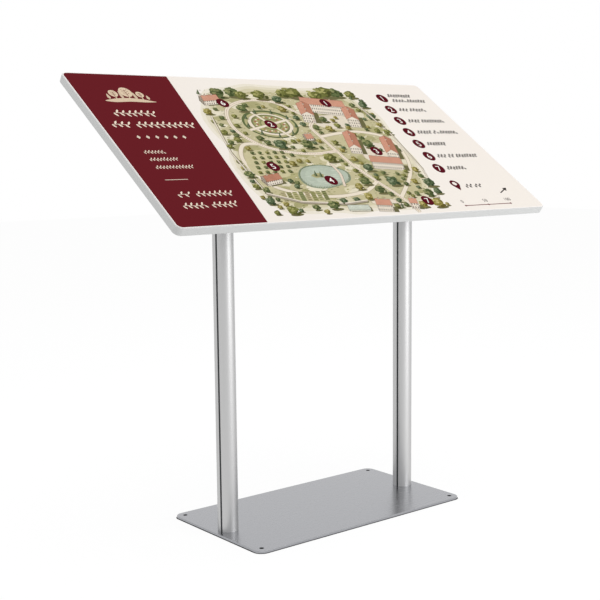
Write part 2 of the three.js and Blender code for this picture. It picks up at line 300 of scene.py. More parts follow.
@dataclass(frozen=True)
class LaminatedPrint(Finish):
    """Pigment print under a matt laminate: painted colours that pool a little, as washes on paper do."""

    # Washes pool in blooms about a thumb wide.
    bloom: float = 17.0
    # The paper's tooth is 0.3 mm wide and is drawn 2.6 mm wide, so that it shows.
    tooth: float = 2.6
    gloss: float = 0.0

    def dress(self, tree: bpy.types.NodeTree, shader: bpy.types.Node) -> None:
        """Takes each shape's own ink, and lets the washes pool by the share kept in the ink's alpha.

        Args:
            tree: The material's tree.
            shader: Its main shader.
        """
        ink = add(tree, "ShaderNodeAttribute", attribute_name="ink")
        blooms = self.grain(tree, (self.bloom,) * 3, 4.0)
        tooth = self.grain(tree, (self.tooth,) * 3)
        both = add(tree, "ShaderNodeMath", {0: blooms, 1: tooth}, operation="ADD")
        around = add(tree, "ShaderNodeMath", {0: 1.0, 1: both.outputs[0]}, operation="SUBTRACT")
        pooled = add(tree, "ShaderNodeMath", {
            0: around.outputs[0], 1: ink.outputs["Alpha"], 2: 1.0}, operation="MULTIPLY_ADD")
        colour = add(tree, "ShaderNodeVectorMath", {
            0: ink.outputs["Color"], "Scale": pooled.outputs[0]}, operation="SCALE")
        tree.links.new(colour.outputs[0], shader.inputs["Base Color"])
        shader.inputs["Specular IOR Level"].default_value = self.gloss


# Steel sheet ground to a satin and lacquered: cool mid grey that blurs what stands on it.
SATIN_STEEL = BrushedMetal("lacquered_satin_steel", "satin_steel", "#A1A2A6", 0.26, 1.0,
                           colour_share=0.025)
# Aluminium extruded and satin anodised: neutral pale grey with one soft highlight down each post. The
# die's lines run lengthwise, 0.3 mm apart, and are drawn 1.2 mm apart, so that they show.
SATIN_ALUMINIUM = BrushedMetal("satin_anodised_aluminium", "satin_aluminium", "#C4C4C4", 0.46, 1.0,
                               feature=(1.2, 1.2, 260.0))
# Aluminium cast in sand and blasted: a duller grey, pebbled, without a clear highlight.
CAST_ALUMINIUM = CastMetal("sand_cast_aluminium", "cast_aluminium", "#A2A5A8", 0.5, 1.0)
# Rolled or turned steel under bright zinc: bluish, with fairly clear reflections.
BRIGHT_ZINC = PlatedMetal("bright_zinc_plate", "zinc_steel", "#A9AEB6", 0.3, 1.0)
# Turned stainless steel, left plain: warmer than the zinc and a little clearer.
STAINLESS = PlatedMetal("plain_stainless_steel", "stainless_steel", "#B0AFAC", 0.26, 1.0,
                        feature=(9.0, 9.0, 9.0))
# Powder baked on folded sheet: light, even grey whose reflections are soft.
GREY_POWDER = PowderCoat("light_grey_powder_coat", "grey_paint", "#DFE0DF", 0.42)
# Extruded rubber pressed into a groove: near black and matt, so it reads as one dark line.
BLACK_INFILL = SoftPlastic("black_rubber_infill", "black_rubber", "#26282B", 0.62)
# Foam tape cut from the roll: white and dead matt, a thin pale layer under each rail.
FOAM_TAPE = SoftPlastic("white_foam_tape", "foam_tape", "#DFDFDA", 0.85, colour_share=0.05,
                        feature=(0.8, 0.8, 0.8))
# Pigment print, laminated matt: the inks' own colours with no glare on them.
PRINT = LaminatedPrint("matt_laminated_print", "", "#EFEBE3", 0.5)
# A dark sheet of painted shade below the plate: it fills the plate's holes and draws a thin painted
# contact shadow round its edge.
PAINTED_SHADE_SHEET = SoftPlastic("shaded_floor", "", "#0C0C0C", 0.9)


class Ink(Enum):
    """The inks of the print, most of them watercolour tones."""

    # Painted highlight: the pale band round each film's edge, where the tray's rolled rim catches the light.
    MARGIN = "#F3EFEC"
    IVORY = "#ECE5DD"
    DARK_RED = "#651F25"
    DISC_RED = "#561620"
    CREAM = "#E8D9C6"
    SAND = "#D8C3A8"
    WHITE = "#F6F1EA"
    TEXT = "#332C28"
    ROUTE = "#93403F"
    WASH_1 = "#E3DCCC"
    WASH_2 = "#D9D1BA"
    WASH_3 = "#CEC6A8"
    MEADOW = "#BDB590"
    GRASS = "#A8A378"
    LAWN = "#928F63"
    FIELD = "#B5A884"
    PATH = "#E2D7C4"
    PATH_EDGE = "#B3A68B"
    GRAVEL = "#DBD0BE"
    SHADOW = "#77734F"
    OLIVE_DEEP = "#4A4C29"
    OLIVE = "#6D6F3C"
    OLIVE_LIGHT = "#97945D"
    GREEN_DEEP = "#3E482B"
    GREEN = "#5B6540"
    GREEN_LIGHT = "#84865B"
    GOLD_DEEP = "#5F562C"
    GOLD = "#898044"
    GOLD_LIGHT = "#B2A770"
    FIR_DEEP = "#37442D"
    FIR = "#526044"
    FIR_LIGHT = "#7A8467"
    TRUNK = "#6A5845"
    ROOF_LIGHT = "#CB9780"
    ROOF = "#B57F68"
    ROOF_DARK = "#8C5A49"
    ROOF_LINE = "#9C6853"
    WALL = "#DED4C4"
    WALL_SHADE = "#A09585"
    STONE = "#C2B7A5"
    STONE_DARK = "#82786A"
    WINDOW = "#5C534A"
    SLATE = "#858078"
    WATER = "#ADB6A6"
    WATER_EDGE = "#808C77"
    WATER_LIGHT = "#CBD1C2"
    BLOSSOM = "#A65B52"


# Flat outlines, in millimetres


def arc(x: float, y: float, radius: float, start: float, end: float, steps: int) -> list[Point]:
    """Returns points on an arc, its angles in degrees, both ends included."""
    angles = [math.radians(start + (end - start) * i / steps) for i in range(steps + 1)]
    return [(x + radius * math.cos(a), y + radius * math.sin(a)) for a in angles]


def rounded_rectangle(width: float, height: float, radius: float, steps: int = 16) -> list[Point]:
    """Rounds the corners of a rectangle about the origin.

    Args:
        width: Its whole width.
        height: Its whole height.
        radius: The radius of its corners.
        steps: How many pieces each corner has.

    Returns:
        The outline, anticlockwise.
    """
    x, y = width / 2 - radius, height / 2 - radius
    corners = ((x, y, 0), (-x, y, 90), (-x, -y, 180), (x, -y, 270))
    return [point for cx, cy, start in corners for point in arc(cx, cy, radius, start, start + 90, steps)]


def ellipse(x: float, y: float, across: float, up: float, count: int = 20) -> list[Point]:
    """Returns an ellipse by its half widths."""
    return [(x + across * px, y + up * py) for px, py in arc(0, 0, 1, 0, 360 - 360 / count, count - 1)]


def smooth(points: Sequence[Point], steps: int = 6, loop: bool = False) -> list[Point]:
    """Draws a soft line through points.

    Args:
        points: The points that it passes through.
        steps: How many pieces lie between two of them.
        loop: Whether it closes on itself.

    Returns:
        The line's points.
    """
    count = len(points)
    padded = [points[-1] if loop else points[0], *points, *(points[:2] if loop else points[-1:])]
    line: list[Point] = []
    for i in range(count if loop else count - 1):
        near = padded[i:i + 4]
        for j in range(steps):
            t = j / steps
            weights = (-t + 2 * t**2 - t**3, 2 - 5 * t**2 + 3 * t**3, t + 4 * t**2 - 3 * t**3, t**3 - t**2)
            line.append(tuple(sum(w * p[axis] for w, p in zip(weights, near)) / 2 for axis in (0, 1)))
    return line if loop else [*line, points[-1]]


def between(a: Point, b: Point, share: float) -> Point:
    """Returns the point at a share of the way from one point to another."""
    return a[0] + (b[0] - a[0]) * share, a[1] + (b[1] - a[1]) * share


def placed(x: float, y: float, outline: Sequence[Point]) -> list[Point]:
    """Returns an outline moved from the origin to a place."""
    return [(x + px, y + py) for px, py in outline]


def sides(outline: Sequence[Point]) -> Iterator[tuple[Point, Point]]:
    """Returns the two ends of each side of a closed outline."""
    return zip(outline, [*outline[1:], outline[0]])


def ribbon(line: Sequence[Point], width: float) -> list[Point]:
    """Draws a line with a broad pen.

    Args:
        line: The line's points.
        width: The pen's width.

    Returns:
        The outline of the stroke.
    """
    left, right = [], []
    for i, (x, y) in enumerate(line):
        ahead, behind = line[min(i + 1, len(line) - 1)], line[max(i - 1, 0)]
        along = Vector(ahead) - Vector(behind)
        side = Vector((-along.y, along.x)).normalized() * width / 2
        left.append((x + side.x, y + side.y))
        right.append((x - side.x, y - side.y))
    return left + right[::-1]


def spaced(line: Sequence[Point], pitch: float) -> list[Point]:
    """Steps along a line.

    Args:
        line: The line's points.
        pitch: The length of a step.

    Returns:
        The points where the steps end, and the line's start.
    """
    found: list[Point] = []
    left = 0.0
    for a, b in zip(line, line[1:]):
        length = math.dist(a, b)
        while left < length:
            found.append(between(a, b, left / length))
            left += pitch
        left -= length
    return found


def numeral(text: str, x: float, y: float, height: float) -> list[list[Point]]:
    """Returns the outlines of plain digits.

    Args:
        text: One or more digits.
        x: The middle of the number.
        y: The middle of its height.
        height: How tall a digit is.

    Returns:
        The closed outlines, each outer one before the ones inside it.
    """
    curve = bpy.data.curves.new("numeral", "FONT")
    curve.body = text
    curve.align_x = "CENTER"
    holder = linked("numeral", curve)
    points_in_bend = 5
    outlines: list[list[Point]] = []
    for spline in holder.to_curve(bpy.context.evaluated_depsgraph_get()).splines:
        ends = list(spline.bezier_points)
        outlines.append([])
        for a, b in sides(ends):
            bend = geometry.interpolate_bezier(a.co, a.handle_right, b.handle_left, b.co, points_in_bend)
            outlines[-1] += [(p.x, p.y) for p in bend[:-1]]
    bpy.data.objects.remove(holder)
    bpy.data.curves.remove(curve)
    heights = [p[1] for outline in outlines for p in outline]
    low, high = min(heights), max(heights)
    scale = height / (high - low)
    placed = [[(x + px * scale, y + (py - (low + high) / 2) * scale) for px, py in o] for o in outlines]
    return sorted(placed, key=lambda o: -(max(p[0] for p in o) - min(p[0] for p in o)))


# Meshes


def finished(name: str, shape: bmesh.types.BMesh, finish: Finish, node: str,
             crease: float = 30.0) -> bpy.types.Object:
    """Turns a shape into a piece of the object, on the root body.

    Args:
        name: The piece's name.
        shape: Its closed shape, in metres. It is freed.
        finish: What it is made of.
        node: The CAD node that it stands for, which is hidden.
        crease: The angle in degrees past which an edge stays sharp.

    Returns:
        The piece.
    """
    bmesh.ops.recalc_face_normals(shape, faces=shape.faces)
    mesh = bpy.data.meshes.new(name)
    shape.to_mesh(mesh)
    shape.free()
    mesh.polygons.foreach_set("use_smooth", [True] * len(mesh.polygons))
    mesh.set_sharp_from_angle(angle=math.radians(crease))
    mesh.materials.append(finish.material())
    piece = linked(name, mesh)
    piece.modifiers.new("flat_faces_stay_flat", "WEIGHTED_NORMAL").keep_sharp = True
    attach(piece, "root")
    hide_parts(node)
    return piece


def lofted(rings: Sequence[Sequence[Vector]]) -> bmesh.types.BMesh:
    """Skins rings of equal counts and caps both ends.

    Args:
        rings: The rings, each one's points in the same order.

    Returns:
        The closed shape.
    """
    shape = bmesh.new()
    rows = [[shape.verts.new(point) for point in ring] for ring in rings]
    for low, high in zip(rows, rows[1:]):
        for i, corner in enumerate(low):
            shape.faces.new((low[i - 1], corner, high[i], high[i - 1]))
    shape.faces.new(rows[0][::-1])
    shape.faces.new(rows[-1])
    return shape


def welded(node: str) -> bmesh.types.BMesh:
    """Copies a CAD node's shape, its corners joined and its flat faces whole.

    Args:
        node: The node's name.

    Returns:
        The copy.
    """
    shape = bmesh.new()
    shape.from_mesh(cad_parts[node].data)
    bmesh.ops.remove_doubles(shape, verts=shape.verts, dist=0.001 * MM)
    bmesh.ops.dissolve_limit(shape, angle_limit=math.radians(0.5), verts=shape.verts, edges=shape.edges)
    return shape


def softened(node: str, name: str, finish: Finish, radius: float, sharpest: float = 35.0) -> bpy.types.Object:
    """Makes a piece from a CAD node, its sharp edges rounded.

    Args:
        node: The node that the piece stands for.
        name: The piece's name.
        finish: What it is made of.
        radius: The radius of the edges, in millimetres.
        sharpest: The angle in degrees past which an edge is rounded.

    Returns:
        The piece.
    """
    shape = welded(node)
    sharp = [edge for edge in shape.edges if edge.calc_face_angle(0.0) > math.radians(sharpest)]
    bmesh.ops.bevel(shape, geom=sharp, offset=radius * MM, segments=2, profile=0.5, affect="EDGES",
                    clamp_overlap=True)
    return finished(name, shape, finish, node)


def keep(node: str, finish: Finish) -> bpy.types.Object:
    """Shows a CAD node as it is.

    Args:
        node: The node's name.
        finish: What it is made of.

    Returns:
        The node's object.
    """
    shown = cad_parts[node]
    shown.material_slots[0].link = "OBJECT"
    shown.material_slots[0].material = finish.material()
    return shown


@dataclass(frozen=True)
class Slope:
    """The panel's own coordinates. Sizes in millimetres."""

    tilt: float = math.radians(35)
    post_top: float = 846.0
    head_height: float = 56.0
    arm_seat: float = -13.2

    def place(self, x: float, y: float, z: float) -> Vector:
        """Turns a point of the panel to one of the room.

        Args:
            x: How far across it lies from the middle.
            y: How far up the slope.
            z: How far out of the panel's middle layer.

        Returns:
            Its place in metres.
        """
        centre = self.post_top + self.head_height - self.arm_seat / math.cos(self.tilt)
        back = y * math.cos(self.tilt) - z * math.sin(self.tilt)
        up = centre + y * math.sin(self.tilt) + z * math.cos(self.tilt)
        return Vector((x, back, up)) * MM


# Artwork


@dataclass
class Sheet:
    """One printed film: flat shapes, each over the ones before it, on a closed thin solid.

    The UV map for baking has the printed face from the first place of face_in_bake over the widths after
    it, and the rest on a flat ellipse: rest_in_bake gives its middle and its half widths. The stroke round a
    digit is bold times its height.
    """

    outline: list[Point]
    paper: Ink
    lean: float = 0.0
    shapes: list[list[Point]] = field(default_factory=list)
    inks: list[Colour] = field(default_factory=list)
    bold: float = 0.06
    face_in_bake: tuple[Point, Point] = ((0.005, 0.005), (0.99, 0.96))
    rest_in_bake: Area = (0.5, 0.985, 0.48, 0.008)

    def __post_init__(self) -> None:
        """Lays the paper."""
        self.paint(self.outline, self.paper)

    def paint(self, points: Sequence[Point], ink: Ink, tone: float = 0.0, pool: float = 0.0) -> None:
        """Paints one shape.

        Args:
            points: Its outline, which leans with the sheet.
            ink: Its ink.
            tone: How much lighter or darker it is, as a share.
            pool: How strongly the wash pools, as a share.
        """
        red, green, blue, _ = linear(ink.value)
        # Every shape runs anticlockwise, because one that runs clockwise would be read as a hole.
        area = sum(ax * by - bx * ay for (ax, ay), (bx, by) in sides(points))
        ordered = points if area > 0 else points[::-1]
        self.shapes.append([(x + self.lean * y, y) for x, y in ordered])
        self.inks.append((red * (1 + tone), green * (1 + tone), blue * (1 + tone), pool))

    def stroke(self, line: Sequence[Point], width: float, ink: Ink, tone: float = 0.0,
               pool: float = 0.0) -> None:
        """Paints a line of a width, and otherwise as paint does."""
        self.paint(ribbon(line, width), ink, tone, pool)

    def number(self, text: str, x: float, y: float, height: float, ink: Ink, ground: Ink) -> None:
        """Paints plain bold digits.

        Args:
            text: One or more digits.
            x: The middle of the number.
            y: The middle of its height.
            height: How tall a digit is.
            ink: The digits' ink.
            ground: The ink that their holes show.
        """
        outlines = numeral(text, x, y, height)
        for i, outline in enumerate(outlines):
            inner = any(self.holds(other, outline[0]) for other in outlines[:i])
            self.paint(outline, ground if inner else ink)
        for outline in outlines:
            self.stroke([*outline, outline[0]], height * self.bold, ink)

    @staticmethod
    def holds(outline: Sequence[Point], point: Point) -> bool:
        """Says whether an outline goes round a point.

        Args:
            outline: The closed outline. It may cross itself.
            point: The point.

        Returns:
            True if its turns round the point don't cancel out.
        """
        x, y = point
        turns = 0
        for (ax, ay), (bx, by) in sides(outline):
            if (ay > y) != (by > y) and x < ax + (bx - ax) * (y - ay) / (by - ay):
                turns += 1 if by > ay else -1
        return turns != 0

    def film(self, name: str, node: str, slope: Slope, top: float, thickness: float) -> bpy.types.Object:
        """Makes the film, its top face divided where inks meet.

        Args:
            name: The piece's name.
            node: The node that it stands for.
            slope: The panel's coordinates.
            top: The level of its printed face.
            thickness: How thick it is.

        Returns:
            The piece.
        """
        shape = bmesh.new()
        layer = shape.loops.layers.float_color.new("ink")
        printed = self.print_face(shape, layer, slope, top)
        rim = [edge for edge in shape.edges if edge.is_boundary]
        lowered = bmesh.ops.extrude_edge_only(shape, edges=rim)["geom"]
        drop = slope.place(0, 0, -thickness) - slope.place(0, 0, 0)
        bmesh.ops.translate(shape, verts=[g for g in lowered if isinstance(g, bmesh.types.BMVert)], vec=drop)
        bottom = [g for g in lowered if isinstance(g, bmesh.types.BMEdge) and g.is_boundary]
        # The underside keeps the layer's own white, like the back of a print.
        bmesh.ops.edgeloop_fill(shape, edges=bottom)
        self.spread(shape, printed)
        return finished(name, shape, PRINT, node)

    def print_face(self, shape: bmesh.types.BMesh, layer: bmesh.types.BMLayerItem, slope: Slope,
                   top: float) -> dict[bmesh.types.BMVert, Vector]:
        """Divides the sheet where inks meet, and gives each part the ink of the topmost shape.

        Args:
            shape: The film's shape, which gets the faces.
            layer: Its layer of inks.
            slope: The panel's coordinates.
            top: The level of the printed face.

        Returns:
            The corners and their places on the sheet.
        """
        corners: list[Vector] = []
        polygons: list[list[int]] = []
        for points in self.shapes:
            polygons.append(list(range(len(corners), len(corners) + len(points))))
            corners += [Vector(point) for point in points]
        # The last three values keep what lies in a shape, join corners this near and name the shapes.
        places, _, faces, _, _, owners = geometry.delaunay_2d_cdt(corners, [], polygons, 1, 1e-4, True)
        verts = [shape.verts.new(slope.place(p.x, p.y, top)) for p in places]
        for face, held in zip(faces, owners):
            if 0 not in held:
                continue
            middle = sum((places[i] for i in face), Vector((0, 0))) / len(face)
            over = (i for i in sorted(held, reverse=True) if self.holds(self.shapes[i], middle))
            ink = self.inks[next(over, 0)]
            for loop in shape.faces.new([verts[i] for i in face]).loops:
                loop[layer] = ink
        bmesh.ops.delete(shape, geom=[v for v in shape.verts if not v.link_faces], context="VERTS")
        return {vert: place for vert, place in zip(verts, places) if vert.is_valid}

    def spread(self, shape: bmesh.types.BMesh, printed: dict[bmesh.types.BMVert, Vector]) -> None:
        """Maps the printed face over nearly all of the bake map, and the plain rest to a strip.

        Args:
            shape: The film's shape.
            printed: The printed face's corners and their places on the sheet.
        """
        flat = shape.loops.layers.uv.new("OFBake")
        left, low = (min(point[axis] for point in self.outline) for axis in (0, 1))
        right, high = (max(point[axis] for point in self.outline) for axis in (0, 1))
        (start_x, start_y), (wide, tall) = self.face_in_bake
        for face in shape.faces:
            on_top = all(loop.vert in printed for loop in face.loops)
            for loop, place in zip(face.loops, ellipse(*self.rest_in_bake, len(face.loops))):
                if on_top:
                    x, y = printed[loop.vert]
                    across, up = (x - left) / (right - left), (y - low) / (high - low)
                    place = (start_x + wide * across, start_y + tall * up)
                loop[flat].uv = place


class Tree(Enum):
    """Kinds of tree, each by its deep, middle and light ink."""

    OLIVE = (Ink.OLIVE_DEEP, Ink.OLIVE, Ink.OLIVE_LIGHT)
    GREEN = (Ink.GREEN_DEEP, Ink.GREEN, Ink.GREEN_LIGHT)
    GOLD = (Ink.GOLD_DEEP, Ink.GOLD, Ink.GOLD_LIGHT)
    FIR = (Ink.FIR_DEEP, Ink.FIR, Ink.FIR_LIGHT)


Planting = tuple[float, float, float, Tree]


@dataclass(frozen=True)
class House:
    """A building by its place, length, depth, turn in degrees, wall height and roof height."""

    x: float
    y: float
    length: float
    depth: float
    turn: float
    wall: float
    roof: float
    storeys: int = 1
    glass: bool = False


@dataclass(frozen=True)
class View:
    """How the slanting view draws level ground and heights, as shares."""

    flatten: float = 0.72
    rise: float = 0.82
    lean: float = 0.3

    def place(self, x: float, y: float, back: float, z: float) -> Point:
        """Returns where a point is drawn that stands back from a drawn place and up from the ground."""
        return x + self.lean * self.rise * z, y + self.flatten * back + self.rise * z


@dataclass
class ParkMap:
    """A bird's-eye view of a country park that is nowhere: manor, farm, round garden, pond and orchard.

    The yards, the island and the places kept clear of trees have their middles and half widths. The
    meadows, the open water and the wooded ground have their left, low, right and high ends.
    """

    sheet: Sheet
    view: View = View()
    rng: random.Random = field(default_factory=lambda: random.Random(11))
    paths: tuple[tuple[Point, ...], ...] = (
        ((152, -286), (130, -226), (92, -160), (58, -95), (38, -32), (22, 30), (14, 74), (44, 104)),
        ((38, -32), (-38, -42), (-118, -32), (-188, 2), (-226, 70), (-206, 150), (-130, 190), (-50, 186),
         (4, 140), (44, 104)),
        ((92, -160), (34, -196), (-60, -212), (-150, -200), (-232, -160), (-262, -70), (-236, -6), (-188, 2)),
        ((22, 30), (92, 46), (170, 52), (250, 20), (256, -60), (220, -136), (130, -226)),
    )
    walls: tuple[tuple[Point, ...], ...] = (
        ((-270, 110), (-284, -40), (-262, -196), (-180, -232), (-60, -246), (14, -238)),
        ((84, -252), (128, -262)), ((176, -262), (252, -236), (276, -120), (268, 40), (236, 170)),
    )
    ground_middle: Point = (-6, -10)
    ground_reach: Point = (282, 270)
    meadows: Area = (-262, -250, 250, 226)
    open_water: Area = (-112, -162, -4, -108)
    wooded: Area = (-280, -276, 262, 206)
    patches: int = 150
    hatches: int = 1300
    ripples: int = 34
    tries: int = 1800
    yards: tuple[Area, ...] = ((108, 98, 70, 32), (166, -40, 50, 44), (64, -240, 40, 10))
    bank: tuple[Point, ...] = (
        (-132, -134), (-108, -102), (-56, -90), (-12, -100), (16, -120), (8, -150),
        (-30, -168), (-84, -178), (-124, -166))
    pond_middle: Point = (-58, -136)
    island: Area = (-78, -130, 19, 9)
    bridge_foot: float = -140.0
    deck: tuple[Point, ...] = ((-20, -180), (-8, -142), (-6, -124), (-12, -88))
    mown: tuple[Point, ...] = ((-256, -120), (-160, -128), (-140, -46), (-236, -28))
    garden_middle: Point = (-106, 84)
    garden_radius: float = 80.0
    first_walk: int = 25
    clear: tuple[Area, ...] = ((-58, -136, 92, 54), (-198, -78, 62, 56), (-158, -208, 76, 24))
    far_trees: tuple[float, ...] = (-216, -168, -138, -76, -2, 32, 106, 146, 178, 236)
    houses: tuple[House, ...] = (
        House(104, 146, 142, 40, -8, 56, 16, storeys=3), House(30, 118, 38, 70, -8, 46, 15, storeys=3),
        House(172, 98, 38, 70, -8, 46, 15, storeys=3), House(108, -12, 36, 90, -10, 32, 16, storeys=2),
        House(220, -36, 36, 90, -10, 32, 16, storeys=2), House(168, -102, 100, 32, -10, 38, 15, storeys=2),
        House(-244, 178, 50, 30, 12, 27, 13, storeys=2), House(52, -268, 46, 28, -10, 34, 13, storeys=2),
        House(150, -266, 24, 22, -10, 30, 12, storeys=2), House(-222, -150, 50, 28, 16, 23, 13, storeys=2),
        House(-28, -262, 64, 24, -4, 9, 9, glass=True), House(-20, 22, 24, 24, 10, 14, 12),
    )
    discs: tuple[Point, ...] = ()
    disc_room: float = 12.0
    path_room: float = 6.0
    crown_room: float = 0.8
    tree_room: float = 0.98
    kept: list[Area] = field(default_factory=list)

    def draw(self) -> None:
        """Paints the whole view, from the ground up and from back to front."""
        room = (self.disc_room, self.disc_room)
        self.kept += [*self.clear, *((x - self.sheet.lean * y, y, *room) for x, y in self.discs)]
        self.ground()
        self.walks()
        self.orchard()
        self.plots()
        self.pond()
        self.garden(*self.garden_middle, self.garden_radius)
        self.standing()
        self.route()

    def blob(self, x: float, y: float, across: float, up: float, ink: Ink, tone: float = 0.0,
             ragged: float = 0.08, count: int = 14, pool: float = 0.25) -> None:
        """Paints a rounded patch with a ragged edge.

        Args:
            x: Its middle across.
            y: Its middle up.
            across: Its half width.
            up: Its half height.
            ink: Its ink.
            tone: How much lighter or darker it is.
            ragged: How far the edge strays, as a share.
            count: How many points the edge has.
            pool: How strongly the wash pools.
        """
        edge = []
        for px, py in ellipse(0, 0, 1, 1, count):
            reach = 1 + self.rng.uniform(-ragged, ragged)
            edge.append((x + (across * px + self.view.lean * up * py) * reach, y + up * py * reach))
        self.sheet.paint(edge, ink, tone, pool)

    def anywhere(self, ends: Area, spill: float = 0.0) -> Point:
        """Returns a random place between ends, or up to a spill past them."""
        left, low, right, high = ends
        return self.rng.uniform(left - spill, right + spill), self.rng.uniform(low - spill, high + spill)

    def ground(self) -> None:
        """Washes the ground in soft steps that fade into the bare paper, then mottles and hatches it."""
        steps = ((-4, Ink.WASH_1), (7, Ink.WASH_2), (18, Ink.WASH_3), (31, Ink.MEADOW))
        reach = [self.rng.uniform(-12, 9) for _ in range(30)]
        for inset, ink in steps:
            edge = []
            for i, stray in enumerate(reach):
                angle = 2 * math.pi * i / len(reach)
                c, s = math.cos(angle), math.sin(angle)
                far, square = stray - inset, (abs(c) ** 5 + abs(s) ** 5) ** -0.2
                (x, y), (across, up) = self.ground_middle, self.ground_reach
                edge.append((x + (across + far) * square * c, y + (up + far) * square * s))
            self.sheet.paint(smooth(edge, 4, loop=True), ink, pool=0.12)
        for _ in range(self.patches):
            x, y = self.anywhere(self.meadows)
            ink = self.rng.choice((Ink.WASH_3, Ink.WASH_2, Ink.MEADOW, Ink.GRASS, Ink.GRASS, Ink.LAWN))
            size = self.rng.uniform(10, 32)
            self.blob(x, y, size, size * 0.55, ink, self.rng.uniform(-0.05, 0.08), ragged=0.18)
        for _ in range(self.hatches):
            x, y = self.anywhere(self.meadows, 6)
            long = self.rng.uniform(3, 10)
            ink = self.rng.choice((Ink.LAWN, Ink.OLIVE, Ink.SHADOW, Ink.WASH_1, Ink.OLIVE_LIGHT))
            blade = placed(x, y, ((0, 0), (long, 0.8), (long * 0.8, 2.4), (0.6, 1.8)))
            self.sheet.paint(blade, ink, 0.05)

    def walks(self) -> None:
        """Draws the gravel paths and yards, each over a thin darker edge."""
        lines = [smooth(path, 8) for path in self.paths]
        for line in lines:
            self.sheet.stroke(line, 13.0, Ink.PATH_EDGE, -0.15, 0.2)
        for line in lines:
            self.sheet.stroke(line, 10.0, Ink.PATH, pool=0.1)
        for x, y, across, up in self.yards:
            self.blob(x, y, across + 2, up + 2, Ink.PATH_EDGE, 0.1, ragged=0.04, count=24)
            self.blob(x, y, across, up, Ink.GRAVEL, ragged=0.04, count=24, pool=0.12)

    def pond(self) -> None:
        """Draws a pond with an island, ripples and reeds."""
        bank = smooth(self.bank, 6, loop=True)
        middle = Vector(self.pond_middle)
        for size, ink, tone in ((1.07, Ink.WATER_EDGE, 0.0), (1.0, Ink.WATER, 0.0), (0.8, Ink.WATER, 0.07)):
            self.sheet.paint([tuple(middle + (Vector(p) - middle) * size) for p in bank], ink, tone, 0.3)
        for _ in range(self.ripples):
            x, y = self.anywhere(self.open_water)
            self.sheet.paint(ellipse(x, y, self.rng.uniform(4, 11), 0.7, 8), Ink.WATER_LIGHT)
        self.blob(*self.island, Ink.GRASS)
        for x, y in spaced([*bank, bank[0]], 5):
            tall = self.rng.uniform(3, 8)
            reed = placed(x, y, ((-1.1, 0), (1.1, 0), (1.6, tall), (1.0, tall)))
            self.sheet.paint(reed, self.rng.choice((Ink.OLIVE, Ink.GREEN, Ink.OLIVE_DEEP)))

    def garden(self, x: float, y: float, radius: float) -> None:
        """Draws a round formal garden with ring hedges, four walks, beds and a basin.

        Args:
            x: Its middle across.
            y: Its middle up.
            radius: Its half width.
        """
        for share, lift, ink, tone in (
            (1.03, 0, Ink.GREEN_DEEP, 0.2), (1.03, 3, Ink.GREEN, 0.1), (0.95, 0, Ink.GRASS, 0.05),
            (0.84, 0, Ink.PATH_EDGE, 0.0), (0.82, 0, Ink.PATH, 0.0), (0.7, 0, Ink.GREEN_DEEP, 0.1),
            (0.7, 2.5, Ink.GREEN_LIGHT, -0.12), (0.64, 0, Ink.LAWN, 0.1), (0.4, 0, Ink.GREEN, 0.0),
            (0.4, 2, Ink.GREEN_LIGHT, 0.0), (0.35, 0, Ink.GRASS, 0.08),
        ):
            across, up = radius * share, radius * share * self.view.flatten
            self.sheet.paint(ellipse(x, y + lift, across, up, 44), ink, tone, 0.2)
        for angle in range(self.first_walk, 360, 90):
            dx, dy = math.cos(math.radians(angle)), math.sin(math.radians(angle)) * self.view.flatten
            walk = [(x + dx * radius * 1.04, y + dy * radius * 1.04), (x, y)]
            self.sheet.stroke(walk, 9, Ink.PATH_EDGE)
            self.sheet.stroke(walk, 7, Ink.PATH)
        beds, walk_room = 48, 8
        for i in range(beds):
            angle, far = 2 * math.pi * i / beds, radius * (0.5 + 0.07 * (i % 2))
            bx, by = x + far * math.cos(angle), y + far * math.sin(angle) * self.view.flatten
            if abs((math.degrees(angle) - self.first_walk + 45) % 90 - 45) > walk_room:
                self.blob(bx, by, 3.4, 2.4, (Ink.BLOSSOM, Ink.CREAM, Ink.GOLD_LIGHT)[i % 3], count=7)
        for share, ink in ((0.22, Ink.STONE_DARK), (0.2, Ink.STONE), (0.15, Ink.WATER)):
            self.sheet.paint(ellipse(x, y, radius * share, radius * share * self.view.flatten, 28), ink)
        self.kept.append((x, y, radius * 1.1, radius * self.view.flatten * 1.16))

    def orchard(self) -> None:
        """Draws the mown ground of the orchard."""
        self.sheet.paint(smooth(self.mown, 5, loop=True), Ink.MEADOW, 0.08, 0.2)

    def plots(self) -> None:
        """Draws kitchen garden beds in stripes."""
        for i in range(8):
            left = -226 + i * 17
            bed = placed(left, 0, ((0, -224), (13, -226), (18, -190), (5, -188)))
            self.sheet.paint(bed, (Ink.FIELD, Ink.LAWN, Ink.GRASS, Ink.GREEN_LIGHT)[i % 4], pool=0.2)
            for row in range(5):
                y = -220 + row * 7
                self.sheet.stroke([(left + 2 + row, y), (left + 12 + row, y)], 2.0,
                                 (Ink.GREEN, Ink.OLIVE_DEEP, Ink.OLIVE)[i % 3], 0.1)

